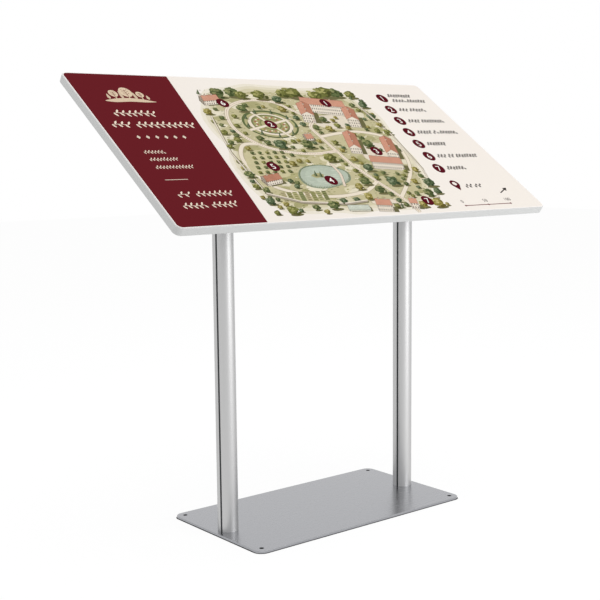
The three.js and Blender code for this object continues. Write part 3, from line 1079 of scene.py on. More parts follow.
    def wall(self, start: Point, end: Point, height: float = 9.0) -> None:
        """Draws one run of a boundary wall: a shaded stone face under a light coping.

        Args:
            start: Its foot at one end.
            end: Its foot at the other end, further right or lower.
            height: How high it stands.
        """
        (ax, ay), (bx, by) = start, end
        up = self.view.place(0, 0, 0, height)
        face = [start, end, *placed(*up, (end, start))]
        runs_back = abs(by - ay) > abs(bx - ax)
        drop = (4.5, 0) if runs_back else (2, -3)
        self.sheet.paint(placed(*drop, face), Ink.SHADOW, 0.1, 0.2)
        self.sheet.paint(face, Ink.WALL_SHADE, 0.08, 0.3)
        if runs_back:
            self.sheet.stroke([face[3], face[2]], 5.4, Ink.STONE_DARK, 0.2, 0.1)
        self.sheet.stroke([face[3], face[2]], 3.4, Ink.WALL, 0.0, 0.1)
        joints = [] if runs_back else spaced([start, end], 4.5)
        for x, y in joints:
            z = self.rng.uniform(0.15, 0.6) * height
            joint = placed(*self.view.place(x, y, 0, z), ((0, 0), (2.6, 0), (2.8, 1.3), (0.2, 1.3)))
            self.sheet.paint(joint, Ink.STONE_DARK, self.rng.uniform(-0.05, 0.4))

    def crown(self, x: float, y: float, size: float, kind: Tree) -> None:
        """Paints a leafy crown: a middle mass, deep dabs low on its right and light ones high on its left.

        Args:
            x: Its middle across.
            y: Its middle up.
            size: Its half width.
            kind: Its inks.
        """
        deep, middle, light = kind.value
        tone = self.rng.uniform(-0.08, 0.12)
        self.blob(x, y, size * 0.84, size * 0.8, middle, tone - 0.12, ragged=0.16, count=16)
        for ink, count, low, high, far, side in (
            (middle, 11, 0.2, 0.34, 0.74, 0.0), (deep, 10, 0.16, 0.3, 0.62, 0.28),
            (middle, 8, 0.14, 0.24, 0.6, -0.05), (light, 10, 0.12, 0.24, 0.54, -0.26),
        ):
            for _ in range(count):
                angle, out = self.rng.uniform(0, 2 * math.pi), size * self.rng.uniform(0.2, far)
                dab = size * self.rng.uniform(low, high)
                self.blob(x + out * math.cos(angle) + side * size, y + out * math.sin(angle) - side * size,
                          dab, dab * 0.8, ink, tone + self.rng.uniform(-0.2, 0.22), ragged=0.22, count=7)

    def tree(self, x: float, y: float, size: float, kind: Tree) -> None:
        """Draws a broad tree on its shadow.

        Args:
            x: Its foot across.
            y: Its foot up.
            size: Its crown's half width.
            kind: Its inks.
        """
        self.blob(x + size * 0.5, y, size * 1.0, size * 0.3, Ink.SHADOW, -0.2, ragged=0.12, count=11)
        trunk, top = size * 0.07, self.view.place(0, 0, 0, size * 0.8)
        foot = [(x - trunk, y), (x + trunk, y)]
        self.sheet.paint([*foot, *placed(*top, foot[::-1])], Ink.TRUNK)
        self.crown(*self.view.place(x, y, 0, size * 1.15), size, kind)

    def fir(self, x: float, y: float, size: float) -> None:
        """Draws a pointed tree with ragged tiers, lit on its left.

        Args:
            x: Its foot across.
            y: Its foot up.
            size: About half its width.
        """
        self.blob(x + size * 0.5, y, size * 0.9, size * 0.28, Ink.SHADOW, count=9)
        tiers, tall = 6, size * 3.4
        for ink, to_left, to_right in zip(Tree.FIR.value, (1.0, 0.8, 0.62), (1.0, 0.4, -0.2)):
            left, right = [], []
            for i in range(tiers):
                wide, z = size * (1 - i / tiers) * 0.75 * self.rng.uniform(0.85, 1.1), tall * i / tiers
                for share, up in ((1.0, z + 1), (0.6, z + tall * 0.13)):
                    px, py = self.view.place(x, y, 0, up)
                    left.append((px - wide * to_left * share, py))
                    right.append((px + wide * to_right * share, py))
            self.sheet.paint([*right, self.view.place(x, y, 0, tall), *left[::-1]], ink, 0.05, 0.2)

    def spot(self, h: House, shares: Point, z: float) -> Point:
        """Finds where a point of a building is drawn.

        Args:
            h: The building.
            shares: How far it lies along and back, as shares of half the length and half the depth.
            z: Its height.

        Returns:
            The drawn place.
        """
        c, s = math.cos(math.radians(h.turn)), math.sin(math.radians(h.turn))
        dx, dy = shares[0] * h.length / 2, shares[1] * h.depth / 2
        return self.view.place(h.x + c * dx - s * dy, h.y, s * dx + c * dy, z)

    def house(self, h: House) -> None:
        """Draws a building: shadow, the walls that show, windows and a tiled or glass roof.

        Args:
            h: The building.
        """
        near_left, near_right, far_right, far_left = (-1, -1), (1, -1), (1, 1), (-1, 1)
        shade = [self.spot(h, corner, 0) for corner in (near_left, near_right, far_right, far_left)]
        self.sheet.paint([(px + 0.35 * h.wall + 3, py - 2) for px, py in shade], Ink.SHADOW, -0.25, 0.2)
        ridge = h.wall + h.roof
        ends = ((-1, 0), (1, 0)) if h.length >= h.depth else ((0, -1), (0, 1))
        for a, b in ((far_right, far_left), (far_left, near_left), (near_right, far_right),
                     (near_left, near_right)):
            first, last = self.spot(h, a, 0), self.spot(h, b, 0)
            if last[0] <= first[0]:
                continue
            middle = between(a, b, 0.5)
            gable = [self.spot(h, middle, ridge)] if middle in ends else []
            wall = [first, last, self.spot(h, b, h.wall), *gable, self.spot(h, a, h.wall)]
            lit = a[1] == b[1]
            self.sheet.paint(wall, Ink.WALL if lit else Ink.WALL_SHADE, 0.0, 0.2)
            for start, end in sides(wall):
                self.sheet.stroke([start, end], 1.2, Ink.STONE_DARK, -0.25)
            for _ in range(int(h.wall * 0.5)):
                share, z = self.rng.uniform(0.04, 0.9), h.wall * self.rng.uniform(0.05, 0.95)
                x, y = self.spot(h, between(a, b, share), z)
                self.sheet.stroke([(x, y), (x + 3, y)], 0.9, Ink.STONE_DARK, 0.6)
            self.windows(h, a, b)
        self.roof(h, ends, ridge)

    def roof(self, h: House, ends: tuple[Point, Point], ridge: float) -> None:
        """Draws the slopes of a roof that show, with their lines of tiles, and two chimneys.

        Args:
            h: The building.
            ends: The shares at which its ridge starts and stops.
            ridge: The ridge's height.
        """
        tiles, panes = (Ink.ROOF_LIGHT, Ink.ROOF, Ink.ROOF_LINE), (Ink.WATER_LIGHT, Ink.WATER, Ink.SLATE)
        inks = panes if h.glass else tiles
        (ex, ey), (fx, fy) = ends
        eave, past_wall, past_gable = h.wall - 2, 1.12, 1.04
        c, d = self.spot(h, (fx, fy), ridge), self.spot(h, (ex, ey), ridge)
        for side in (1, -1):
            over = (side * ey - side * fy, side * fx - side * ex)
            out = (over[0] / 2 * past_wall, over[1] / 2 * past_wall)
            a = self.spot(h, (ex * past_gable + out[0], ey * past_gable + out[1]), eave)
            b = self.spot(h, (fx * past_gable + out[0], fy * past_gable + out[1]), eave)
            turn = (b[0] - a[0]) * (d[1] - a[1]) - (b[1] - a[1]) * (d[0] - a[0])
            if turn * side > 0:
                continue
            lit = (a[1] + b[1]) < (c[1] + d[1]) and (a[0] + b[0]) < (c[0] + d[0])
            self.sheet.paint([a, b, c, d], inks[0] if lit else inks[1], self.rng.uniform(-0.04, 0.04), 0.35)
            count = max(4, int(max(h.length, h.depth) / 4))
            for i in range(1, count):
                low = Vector(a).lerp(Vector(b), i / count)
                high = Vector(d).lerp(Vector(c), i / count)
                self.sheet.stroke([tuple(low), tuple(high)], 0.6, inks[2], 0.25 if lit else 0.05)
            for start, end in ((a, b), (b, c), (d, a)):
                self.sheet.stroke([start, end], 1.1, inks[2], -0.2)
        self.sheet.stroke([d, c], 1.4, inks[2], -0.25)
        chimneys = () if h.glass else (0.25, 0.7)
        for share in chimneys:
            foot = Vector(d).lerp(Vector(c), share)
            self.sheet.paint(placed(*foot, ((-2, -2), (2, -2), (3.5, 5), (-0.5, 5))), Ink.STONE, -0.15)
            self.sheet.paint(placed(*foot, ((-1, 4), (4, 4), (4.4, 6), (-0.6, 6))), Ink.ROOF_DARK)

    def windows(self, h: House, a: Point, b: Point) -> None:
        """Draws the windows of one wall, in rows.

        Args:
            h: The building.
            a: The shares of the wall's first corner.
            b: The shares of its second corner.
        """
        reach = Vector(self.spot(h, b, 0)) - Vector(self.spot(h, a, 0))
        pitch, filled = (4, 0.8) if h.glass else (6.5, 0.36)
        count = int(reach.length / pitch)
        half = 0.5 / max(count, 1) * filled
        for storey in range(h.storeys):
            low = h.wall * (storey + 0.26) / h.storeys
            high = h.wall * (storey + 0.76) / h.storeys
            for i in range(count):
                t = (i + 0.5) / count
                u, v = between(a, b, t - half), between(a, b, t + half)
                pane = [self.spot(h, u, low), self.spot(h, v, low), self.spot(h, v, high),
                        self.spot(h, u, high)]
                self.sheet.paint(pane, Ink.WATER if h.glass else Ink.WINDOW, 0.1 * (i % 3))

    def bridge(self) -> None:
        """Draws an arched timber footbridge over the pond's narrow end."""
        deck = smooth(self.deck, 6)
        for shift, width, ink in ((0, 9, Ink.STONE_DARK), (1.5, 7, Ink.CREAM)):
            self.sheet.stroke([(x, y + shift + 4) for x, y in deck], width, ink)
        for x, y in spaced(deck, 4.2):
            self.sheet.stroke([(x - 3.4, y + 5.5), (x + 3.4, y + 5.5)], 0.8, Ink.STONE_DARK, 0.2)

    def standing(self) -> None:
        """Draws all that stands up, from the back to the front."""
        for h in self.houses:
            middle = (h.x + h.wall * 0.1, h.y + h.wall * 0.45)
            self.kept.append((*middle, h.length * 0.62, h.depth * 0.5 + h.wall * 0.5))
        jobs: list[tuple[float, Callable[..., None], tuple]] = [
            (h.y - h.depth * 0.3, self.house, (h,)) for h in self.houses]
        for line in self.walls:
            jobs += [((a[1] + b[1]) / 2, self.wall, (a, b)) for a, b in zip(line, line[1:])]
        jobs += [(y, self.fir, (x, y, 8.0)) for x, y in self.firs()]
        jobs += [(tree[1], self.tree, tree) for tree in self.fruit_trees() + self.woods()]
        jobs.append((self.bridge_foot, self.bridge, ()))
        for _, paint, given in sorted(jobs, key=lambda job: -job[0]):
            paint(*given)

    def firs(self) -> list[Point]:
        """Places the pointed trees: round the garden, on the island, by the gate and in the far corners.

        Returns:
            Where each one stands.
        """
        x, y = self.garden_middle
        far = self.garden_radius - 6
        angles = [math.radians(a) for a in range(70, 430, 40)]
        round_garden = [(x + far * math.cos(a), y - 4 + far * self.view.flatten * math.sin(a))
                        for a in angles]
        return [*round_garden, (-84, -132), (-70, -136), (108, -268), (188, -268), (-262, 214), (232, 206)]

    def fruit_trees(self) -> list[Planting]:
        """Returns the orchard's small trees, in rows."""
        return [(-240 + column * 22 + row * 4, -118 + row * 19 + column * 0.5, 7.0,
                 Tree.GREEN if (row + column) % 3 else Tree.OLIVE) for row in range(5) for column in range(5)]

    def woods(self) -> list[Planting]:
        """Scatters broad trees clear of what else is drawn.

        Returns:
            Each tree's place, size and kind.
        """
        kinds = list(Tree)
        found: list[Planting] = []
        for x in self.far_trees:
            place = (x + self.rng.uniform(-8, 8), 204 + self.rng.uniform(-8, 10))
            size, kind = self.rng.uniform(20, 33), self.rng.choice((kinds[0], kinds[0], *kinds[:3]))
            found.append((*place, size, kind))
        lines = [smooth(path, 4) for path in self.paths]
        for _ in range(self.tries):
            x, y = self.anywhere(self.wooded)
            size = self.rng.choice((8, 10, 12, 15, 18, 21))
            if self.free(x, y, size, lines, found):
                found.append((x, y, size, self.rng.choice(kinds)))
        return found

    def free(self, x: float, y: float, size: float, lines: list[list[Point]], found: list[Planting]) -> bool:
        """Says whether a tree of a size has room at a place.

        Args:
            x: The place across.
            y: The place up.
            size: The crown's half width.
            lines: The paths.
            found: The trees so far.

        Returns:
            True if it has room.
        """
        mx, my = self.view.place(x, y, 0, size)
        room = size * self.crown_room
        if any(((mx - kx) / (across + room)) ** 2 + ((my - ky) / (up + room)) ** 2 < 1
               for kx, ky, across, up in self.kept):
            return False
        if any(math.hypot(mx - px, my - py) < self.path_room + room for line in lines for px, py in line):
            return False
        return all(math.hypot(x - tx, (y - ty) * 1.2) > (size + other) * self.tree_room
                   for tx, ty, other, _ in found)

    def route(self) -> None:
        """Dots the walk round the park."""
        for path in self.paths[:2]:
            for x, y in spaced(smooth(path, 8), 5.2):
                self.sheet.paint(ellipse(x, y, 1.1, 1.1, 7), Ink.ROUTE)


@dataclass
class Twigs:
    """Leafy twigs, which fill the places of printed lines."""

    sheet: Sheet
    ink: Ink
    fullness: float = 0.2
    leaf_reach: float = 0.62
    leaf_pitch: float = 0.56
    stem_width: float = 0.12
    stem_wave: float = 0.1
    rng: random.Random = field(default_factory=lambda: random.Random(5))

    def row(self, x: float, y: float, marks: Sequence[float], height: float) -> None:
        """Paints a row of twigs from its left foot, by the marks where each one starts and ends."""
        for start, end in zip(marks[::2], marks[1::2]):
            self.twig(x + start, y + height / 2, end - start, height / 2)

    def twig(self, x: float, y: float, length: float, reach: float) -> None:
        """Paints one running twig with leaves on both sides in turn.

        Args:
            x: Where it starts.
            y: The middle of its height.
            length: How long it is, with its last leaf.
            reach: How far its leaves stand out to each side.
        """
        room = length - reach * self.leaf_reach
        count = max(3, round(room / (reach * self.leaf_pitch)))
        stem = [(x + room * i / (count - 1), y + math.sin(i * 0.9) * reach * self.stem_wave)
                for i in range(count)]
        self.sheet.stroke(stem, reach * self.stem_width, self.ink)
        for i, (px, py) in enumerate(stem):
            side, grown = (1 if i % 2 else -1), self.rng.uniform(0.82, 1.0)
            tip = (px + reach * self.leaf_reach * grown, py + side * reach * grown)
            across = Vector((tip[1] - py, px - tip[0])).normalized() * reach * self.fullness
            x_mid, y_mid = px * 0.45 + tip[0] * 0.55, py * 0.45 + tip[1] * 0.55
            leaf = [(px, py), (x_mid + across.x, y_mid + across.y), tip, (x_mid - across.x, y_mid - across.y)]
            self.sheet.paint(smooth(leaf, 3, loop=True), self.ink, self.rng.uniform(-0.04, 0.04))


@dataclass
class Key:
    """The numbered discs on the map and the key beside it.

    A line of twigs starts lone_line from its disc's middle, or paired_line where another is below it.
    """

    sheet: Sheet
    radius: float = 18.0
    on_map: float = 0.94
    tallness: float = 1.1
    digits: float = 1.12
    line_height: float = 17.0
    line_start: float = 31.0
    line_pitch: float = 25.0
    lone_line: float = -8.0
    paired_line: float = 6.0
    rows: tuple[Point, ...] = (
        (377, 217), (367, 160), (358, 105), (349, 51), (341, -4), (333, -60), (324, -114))
    spots: tuple[Point, ...] = (
        (150, 186), (-96, 84), (166, -34), (-66, -150), (-200, -90), (-186, 176), (176, -244))
    lines: tuple[tuple[tuple[float, ...], ...], ...] = (
        ((0, 89), (0, 50, 56, 128)), ((0, 34, 40, 100),), ((0, 44, 50, 136),), ((0, 54, 60, 80, 86, 152),),
        ((0, 70),), ((0, 34, 40, 64, 70, 152),), ((0, 68),))

    def draw(self) -> None:
        """Paints discs, twigs, marker, arrow and scale bar."""
        twigs = Twigs(self.sheet, Ink.TEXT, fullness=0.38)
        for i, (x, y) in enumerate(self.spots, 1):
            self.disc(x, y, str(i), self.radius * self.on_map)
        for i, ((x, y), rows) in enumerate(zip(self.rows, self.lines), 1):
            self.disc(x, y, str(i), self.radius)
            for j, marks in enumerate(rows):
                drop = (self.paired_line - self.line_pitch * j) if len(rows) > 1 else self.lone_line
                twigs.row(x + self.line_start, y + drop, marks, self.line_height)
        self.marker(325, -184)
        twigs.row(356, -201, (0, 26, 34, 60), self.line_height)
        self.arrow(476, -218)
        self.scale(288, 456, -272)

    def disc(self, x: float, y: float, text: str, radius: float) -> None:
        """Paints a dark disc with a pale number."""
        self.sheet.paint(ellipse(x, y, radius, radius * self.tallness, 36), Ink.DISC_RED)
        self.sheet.number(text, x, y, radius * self.digits, Ink.WHITE, Ink.DISC_RED)

    def marker(self, x: float, y: float) -> None:
        """Paints a place marker: a drop with a hole."""
        self.sheet.paint([*arc(x, y + 2, 15, -25, 205, 24), (x, y - 26)], Ink.DISC_RED)
        self.sheet.paint(ellipse(x, y + 3, 7, 7, 20), Ink.IVORY)

    def arrow(self, x: float, y: float) -> None:
        """Paints a plain arrow that points up and right."""
        self.sheet.stroke(placed(x, y, ((-19, -10), (10, 5))), 3.2, Ink.TEXT, -0.3)
        self.sheet.paint(placed(x, y, ((21, 11), (11, -3), (4, 10))), Ink.TEXT, -0.3)

    def scale(self, left: float, right: float, y: float) -> None:
        """Paints a scale bar with its round numbers.

        Args:
            left: Where the bar starts.
            right: Where it ends.
            y: Its level.
        """
        thick, dot, digits, rise = 2.6, 3.2, 11.5, 17
        self.sheet.stroke([(left, y), (right, y)], thick, Ink.DARK_RED)
        for share, text in ((0, "0"), (0.5, "50"), (1, "100")):
            x = left + (right - left) * share
            self.sheet.paint(ellipse(x, y, dot, dot, 12), Ink.DARK_RED)
            self.sheet.number(text, x + 1, y + rise, digits, Ink.TEXT, Ink.IVORY)


@dataclass
class TitleField:
    """The dark field: an emblem of trees, and twigs where lines would be."""

    sheet: Sheet
    large: float = 27.0
    medium: float = 22.0
    small: float = 14.0
    hill: tuple[Point, ...] = (
        (-66, -2), (-52, 4), (-28, 9), (4, 11), (34, 7), (58, 0), (68, -4), (40, -6), (0, -4), (-40, -7))
    round_trees: tuple[Point, ...] = ((-32, 14), (4, 20), (38, 12))
    slim_trees: tuple[Point, ...] = ((-14, 36), (22, 30), (-50, 22), (54, 18))

    def draw(self) -> None:
        """Paints the emblem and the lines."""
        self.emblem(-444, 178)
        twigs = Twigs(self.sheet, Ink.CREAM)
        twigs.row(-514, 112, (0, 112), self.large)
        twigs.row(-541, 66, (0, 50, 62, 220), self.large)
        for i in range(6):
            diamond = placed(-498 + i * 24, 30, ((0, -7), (5, 0), (0, 7), (-5, 0)))
            self.sheet.paint(diamond, Ink.CREAM, -0.15)
        for y, marks in ((-34, (0, 54)), (-62, (0, 74)), (-91, (0, 98))):
            twigs.row(-514, y, marks, self.small)
        self.sheet.stroke([(-515, -130), (-457, -130)], 1.8, Ink.CREAM, -0.1)
        twigs.row(-512, -194, (0, 34, 46, 142), self.medium)
        twigs.row(-520, -233, (0, 60, 72, 140), self.medium)

    def emblem(self, x: float, y: float) -> None:
        """Paints round trees with veins and slim ones on a low hill.

        Args:
            x: Its middle across.
            y: The hill's foot.
        """
        self.sheet.paint(smooth(placed(x, y, self.hill), 5, loop=True), Ink.SAND, -0.05)
        ground = y + 6
        for dx, size in self.round_trees:
            middle = y + 14 + size * 1.1
            self.sheet.stroke([(x + dx, ground), (x + dx, middle)], 2.8, Ink.SAND)
            self.sheet.paint(ellipse(x + dx, middle, size * 0.84, size, 28), Ink.SAND)
            vein = [(x + dx, middle - size), (x + dx, middle + size * 0.55)]
            self.sheet.stroke(vein, 1.3, Ink.DARK_RED)
            for side in (-1, 1):
                for share in (-0.5, -0.1, 0.25):
                    start = (x + dx, middle + size * share)
                    end = (x + dx + side * size * 0.42, middle + size * (share + 0.34))
                    self.sheet.stroke([start, end], 1.0, Ink.DARK_RED)
        for dx, tall in self.slim_trees:
            leaf = placed(x + dx, ground, ((0, 0), (4, tall * 0.35), (0, tall), (-4, tall * 0.35)))
            self.sheet.paint(smooth(leaf, 4, loop=True), Ink.SAND, -0.1)


# Sub-assemblies


class Assembly(Protocol):
    """What is made together."""

    def build(self) -> list[bpy.types.Object]:
        """Returns its pieces, made and dressed."""


@dataclass
class FloorPlate:
    """The satin steel plate on the floor. Sizes in millimetres."""

    width: float = 660.0
    depth: float = 360.0
    corner: float = 22.0
    arris: float = 0.35

    def build(self) -> list[bpy.types.Object]:
        """Breaks the plate's edges and those of its holes."""
        return [softened("base_plate", "satin_floor_plate", SATIN_STEEL, self.arris)]


@dataclass
class Post:
    """A round extrusion with two T-grooves and a dark strip in each. Sizes in millimetres."""

    side: Side
    spacing: float = 580.0
    foot: float = 6.0
    length: float = 840.0
    radius: float = 25.0
    turn: float = 15.0
    opening: float = 5.0
    lip: float = 2.6
    pocket: float = 11.0
    depth: float = 5.0
    edge: float = 0.4
    crease: float = 20.0
    foot_screw_edge: float = 0.2
    head_screw_edge: float = 0.3

    def section(self) -> list[Point]:
        """Draws the outside of the extrusion with both grooves.

        Returns:
            The outline, anticlockwise.
        """
        half, wide = self.opening / 2, self.pocket / 2
        front, back = self.radius - self.lip, self.radius - self.lip - self.depth
        start = math.degrees(math.asin((half + self.edge) / self.radius))
        wall = math.sqrt(self.radius**2 - half**2) - self.edge
        upper = arc(0, 0, self.radius, start, 180 - start, 90)
        groove = [(wall, half), (front, half), (front, wide), (back, wide)]
        inner = [(-x, y) for x, y in groove] + [(-x, -y) for x, y in groove[::-1]]
        lower = [(-x, -y) for x, y in upper]
        outer = [(x, -y) for x, y in groove] + [(x, y) for x, y in groove[::-1]]
        return upper + inner + lower + outer

    def extrusion(self) -> bpy.types.Object:
        """Extrudes the section, turned so that one groove faces a little to the front.

        Returns:
            The extrusion.
        """
        c, s = math.cos(math.radians(self.turn)), math.sin(math.radians(self.turn))
        x = self.side.value * self.spacing / 2
        flat = [(x + px * c - py * s, px * s + py * c) for px, py in self.section()]
        rings = [[Vector((px, py, z)) * MM for px, py in flat] for z in (self.foot, self.foot + self.length)]
        return finished(f"grooved_post_{self.side}", lofted(rings), SATIN_ALUMINIUM, f"post_{self.side}",
                        self.crease)

    def build(self) -> list[bpy.types.Object]:
        """Makes the extrusion, and finishes the strips and the screws at both ends.

        Returns:
            The pieces.
        """
        pieces = [self.extrusion()]
        pieces += [keep(f"groove_strip_{self.side}_{i}", BLACK_INFILL) for i in (1, 2)]
        for i in (1, 2, 3, 4):
            foot, head = f"foot_screw_{self.side}_{i}", f"head_screw_{self.side}_{i}"
            pieces.append(softened(foot, f"{foot}_plated", BRIGHT_ZINC, self.foot_screw_edge))
            pieces.append(softened(head, f"{head}_plain", STAINLESS, self.head_screw_edge))
        return pieces


@dataclass
class LecternHead:
    """The cast head of one post, with the bolts and nuts that hold it to the rails. Millimetres."""

    side: Side
    voxel: float = 1.5
    passes: int = 5
    ease: float = 0.5
    crease: float = 60.0
    bolt_edge: float = 0.3
    nut_edge: float = 0.4

    def casting(self) -> bpy.types.Object:
        """Gives the casting its fillets: a fine remesh, then a little smoothing.

        Returns:
            The casting.
        """
        node = f"lectern_head_{self.side}"
        shape = welded(node)
        mesh = bpy.data.meshes.new("casting")
        shape.to_mesh(mesh)
        shape.free()
        rough = linked("casting", mesh)
        remesh = rough.modifiers.new("remesh", "REMESH")
        remesh.mode, remesh.voxel_size = "VOXEL", self.voxel * MM
        relax = rough.modifiers.new("relax", "SMOOTH")
        relax.factor, relax.iterations = self.ease, self.passes
        graph = bpy.context.evaluated_depsgraph_get()
        fine = bpy.data.meshes.new_from_object(rough.evaluated_get(graph))
        bpy.data.objects.remove(rough)
        cast = bmesh.new()
        cast.from_mesh(fine)
        bpy.data.meshes.remove(fine)
        return finished(f"cast_head_{self.side}", cast, CAST_ALUMINIUM, node, self.crease)

    def build(self) -> list[bpy.types.Object]:
        """Makes the casting and rounds the bolts and nuts.

        Returns:
            The pieces.
        """
        pieces = [self.casting()]
        for i in (1, 2, 3, 4):
            end = f"{self.side}_{i}"
            pieces.append(softened(f"rail_bolt_{end}", f"t_bolt_{end}", BRIGHT_ZINC, self.bolt_edge))
            pieces.append(softened(f"flange_nut_{end}", f"nut_{end}", STAINLESS, self.nut_edge))
        return pieces


@dataclass
class Panel:
    """The tray, its two printed films, and the rails and tapes in its back. Sizes in millimetres.

    The seam's places are shares of the width, and the map's lean is a share of the height.
    """

    width: float = 1145.0
    height: float = 590.0
    face: float = 10.0
    back: float = -10.0
    film: float = 0.5
    film_inset: float = 1.5
    # The width of the pale band round each film's edge, a painted highlight of the tray's rolled rim.
    margin: float = 2.4
    seam_gap: float = 0.3
    sheet: float = 2.5
    lip: float = 15.0
    roll: float = 0.9
    corner: float = 16.0
    corner_steps: int = 20
    mouth_corner: float = 5.0
    rail_edge: float = 0.4
    seam_top: float = 0.25
    seam_bottom: float = 0.2
    lean: float = 0.12
    slope: Slope = Slope()

    def level(self, inset: float, z: float) -> list[Vector]:
        """Places one ring of the tray.

        Args:
            inset: How far inside the tray's outline it lies.
            z: Its level.

        Returns:
            The ring, in metres.
        """
        corner = max(self.corner - inset, self.mouth_corner)
        ring = rounded_rectangle(self.width - 2 * inset, self.height - 2 * inset, corner, self.corner_steps)
        return [self.slope.place(x, y, z) for x, y in ring]

    def tray(self) -> bpy.types.Object:
        """Builds the folded tray with its rolled edges and returned lips.

        Returns:
            The tray.
        """
        front, roll, inner = self.face - self.film - self.seam_gap, self.roll, self.sheet + self.lip
        profile = [*arc(roll, front - roll, roll, 90, 180, 3),
                   *arc(roll, self.back + roll, roll, 180, 270, 3),
                   (inner, self.back), (inner, self.back + self.sheet),
                   (self.sheet, self.back + self.sheet), (self.sheet, front - self.sheet)]
        shape = lofted([self.level(*step) for step in profile])
        return finished("folded_tray", shape, GREY_POWDER, "panel_tray")

    def rails(self) -> list[bpy.types.Object]:
        """Rounds the rails' edges and keeps their tapes.

        Returns:
            Each rail and its tape.
        """
        pieces = []
        for name in ("lower_rail", "upper_rail"):
            pieces.append(softened(name, f"{name}_rolled", BRIGHT_ZINC, self.rail_edge))
            pieces.append(keep(f"{name}_tape", FOAM_TAPE))
        return pieces

    def half(self, side: Side, margin: float = 0.0) -> list[Point]:
        """Cuts the face along its slanting seam.

        Args:
            side: The side of the seam that stays.
            margin: How much the outside draws in.

        Returns:
            The outline of that half.
        """
        inset = self.film_inset + margin
        whole = rounded_rectangle(self.width - 2 * inset, self.height - 2 * inset, self.corner - inset,
                                  self.corner_steps)

        def beyond(point: Point) -> float:
            """Returns how far past the seam a point lies, on this film's side."""
            share = self.seam_bottom + (self.seam_top - self.seam_bottom) * (point[1] / self.height + 0.5)
            return side.value * (point[0] + self.width / 2 - self.width * share) - self.seam_gap / 2

        outline: list[Point] = []
        for a, b in sides(whole):
            here, there = beyond(a), beyond(b)
            if here >= 0:
                outline.append(a)
            if (here >= 0) != (there >= 0):
                outline.append(between(a, b, here / (here - there)))
        return outline

    def films(self) -> list[bpy.types.Object]:
        """Prints the title film and the map film, each inside a pale band of painted rim highlight.

        Returns:
            Both films.
        """
        # The paper's pale ink shows only in a thin band round the outer edge, as a painted highlight of the
        # rim.
        title = Sheet(self.half(Side.LEFT), Ink.MARGIN)
        title.paint(self.half(Side.LEFT, self.margin), Ink.DARK_RED)
        TitleField(title).draw()
        park = Sheet(self.half(Side.RIGHT), Ink.MARGIN)
        park.paint(self.half(Side.RIGHT, self.margin), Ink.IVORY)
        park.lean = self.lean
        ParkMap(park, discs=Key.spots).draw()
        park.lean = 0.0
        Key(park).draw()
        return [title.film("title_print", "title_film", self.slope, self.face, self.film),
                park.film("map_print", "map_film", self.slope, self.face, self.film)]

    def build(self) -> list[bpy.types.Object]:
        """Returns the tray, the rails with their tapes and the films."""
        return [self.tray(), *self.rails(), *self.films()]


# Studio


@dataclass(frozen=True)
class Lamp:
    """A soft rectangular light. Metres and watts."""

    name: str
    place: tuple[float, float, float]
    aim: tuple[float, float, float]
    size: tuple[float, float]
    power: float

    def hang(self) -> bpy.types.Object:
        """Hangs the light and turns it to what it lights.

        Returns:
            The light.
        """
        data = bpy.data.lights.new(self.name, "AREA")
        data.shape, data.energy = "RECTANGLE", self.power
        data.size, data.size_y = self.size
        made = linked(self.name, data)
        made.location = self.place
        made.rotation_euler = (Vector(self.aim) - Vector(self.place)).to_track_quat("-Z", "Y").to_euler()
        return made


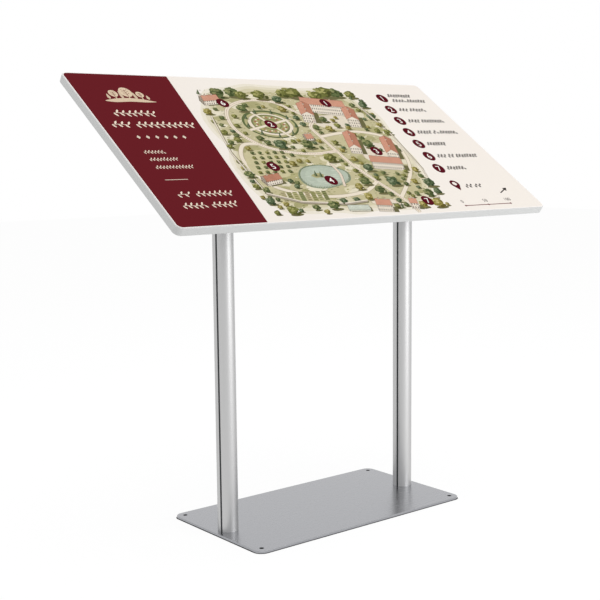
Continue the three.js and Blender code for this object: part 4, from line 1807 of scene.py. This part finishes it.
@dataclass
class Studio:
    """A pale floor, soft light and the camera.

    The camera stands in metres and turns in degrees, its lens is in millimetres, and so is the floor.
    """

    focal: float = 69.01
    sensor: float = 36.0
    place: tuple[float, float, float] = (-1.83187, -2.19995, 0.91443)
    pitch: float = 7.49
    roll: float = -0.57
    azimuth: float = 38.84
    view_end: float = 50.0
    lamps: tuple[Lamp, ...] = (
        Lamp("top_light", (0.0, -0.4, 3.4), (0, 0, 0), (3.4, 3.0), 30),
        Lamp("right_light", (1.06, -2.37, 0.68), (0, 0, 0.5), (1.7, 1.4), 18))
    white: str = "#FFFFFF"
    world_strength: float = 0.7
    floor_lit: str = "#DADADA"
    floor_seen: str = "#6C6C6C"
    floor_glow: float = 0.878
    floor_side: float = 24000.0
    floor_drop: float = 0.2
    shade_spill: float = 2.0
    shade_drop: float = 0.1
    plate: FloorPlate = field(default_factory=FloorPlate)

    def camera(self) -> None:
        """Sets the camera as the photograph has it."""
        pitch, roll, azimuth = (math.radians(a) for a in (self.pitch, self.roll, self.azimuth))
        level = Vector((math.sin(azimuth), math.cos(azimuth), 0))
        ahead = level * math.cos(pitch) - Vector((0, 0, math.sin(pitch)))
        right = Vector((math.cos(azimuth), -math.sin(azimuth), 0))
        up = right.cross(ahead)
        tilted = right * math.cos(roll) + up * math.sin(roll)
        top = up * math.cos(roll) - right * math.sin(roll)
        data = bpy.data.cameras.new("camera")
        data.lens, data.sensor_width, data.sensor_fit = self.focal, self.sensor, "HORIZONTAL"
        data.clip_end = self.view_end
        made = linked("camera", data)
        turned = Matrix((tilted, top, -ahead)).transposed().to_4x4()
        made.matrix_world = Matrix.Translation(self.place) @ turned
        bpy.context.scene.camera = made

    def world(self) -> None:
        """Lights the studio evenly, white where the camera or a reflection sees it."""
        made = bpy.data.worlds.new("studio")
        bpy.context.scene.world = made
        made.use_nodes = True
        tree = made.node_tree
        tree.nodes.clear()
        soft, white = (add(tree, "ShaderNodeBackground", {"Color": linear(self.white), "Strength": strength})
                       for strength in (self.world_strength, 1.0))
        mixed = add(tree, "ShaderNodeMixShader", {
            0: looked_at(tree), 1: soft.outputs[0], 2: white.outputs[0]})
        add(tree, "ShaderNodeOutputWorld", {"Surface": mixed.outputs[0]})

    def floor(self) -> bpy.types.Material:
        """Mixes a floor that melts into the background where it is seen, and keeps a faint shadow.

        Returns:
            The floor's material.
        """
        made = bpy.data.materials.new("pale_floor")
        made.use_nodes = True
        tree = made.node_tree
        tree.nodes.clear()
        lit, seen = (add(tree, "ShaderNodeBsdfDiffuse", {"Color": linear(colour)})
                     for colour in (self.floor_lit, self.floor_seen))
        glow = add(tree, "ShaderNodeEmission", {"Color": linear(self.white), "Strength": self.floor_glow})
        bright = add(tree, "ShaderNodeAddShader", {0: seen.outputs[0], 1: glow.outputs[0]})
        mixed = add(tree, "ShaderNodeMixShader", {
            0: looked_at(tree), 1: lit.outputs[0], 2: bright.outputs[0]})
        add(tree, "ShaderNodeOutputMaterial", {"Surface": mixed.outputs[0]})
        return made

    def lay(self, name: str, corners: Sequence[Point], drop: float, material: bpy.types.Material) -> None:
        """Lays a flat sheet below the object, which isn't part of it.

        Args:
            name: Its name.
            corners: Its outline.
            drop: How far it lies below the plate.
            material: What covers it.
        """
        mesh = bpy.data.meshes.new(name)
        mesh.from_pydata([(x * MM, y * MM, -drop * MM) for x, y in corners], [], [range(len(corners))])
        mesh.materials.append(material)
        linked(name, mesh)

    def build(self) -> None:
        """Sets the camera, the light and the floor, with a sheet of painted shade where the plate covers it.
        """
        self.camera()
        for lamp in self.lamps:
            lamp.hang()
        self.world()
        reach, spill = self.floor_side / 2, self.shade_spill
        corners = [(-reach, -reach), (reach, -reach), (reach, reach), (-reach, reach)]
        self.lay("floor", corners, self.floor_drop, self.floor())
        # The sheet spills a little past the plate, as a painted contact shadow round its edge.
        covered = rounded_rectangle(self.plate.width + 2 * spill, self.plate.depth + 2 * spill,
                                    self.plate.corner + spill)
        self.lay("floor_below_plate", covered, self.shade_drop, PAINTED_SHADE_SHEET.material())
        bpy.context.scene.view_settings.view_transform = "Standard"


def main() -> None:
    """Builds the studio and the sub-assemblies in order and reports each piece."""
    logging.basicConfig(level=logging.INFO, format="%(message)s")
    Studio().build()
    log.info("studio ready")
    uprights = [part(side) for side in Side for part in (Post, LecternHead)]
    assemblies: list[Assembly] = [FloorPlate(), *uprights, Panel()]
    for assembly in assemblies:
        for piece in assembly.build():
            log.info("%s: %s, %d faces", type(assembly).__name__, piece.name, len(piece.data.polygons))


if __name__ == "__main__":
    main()
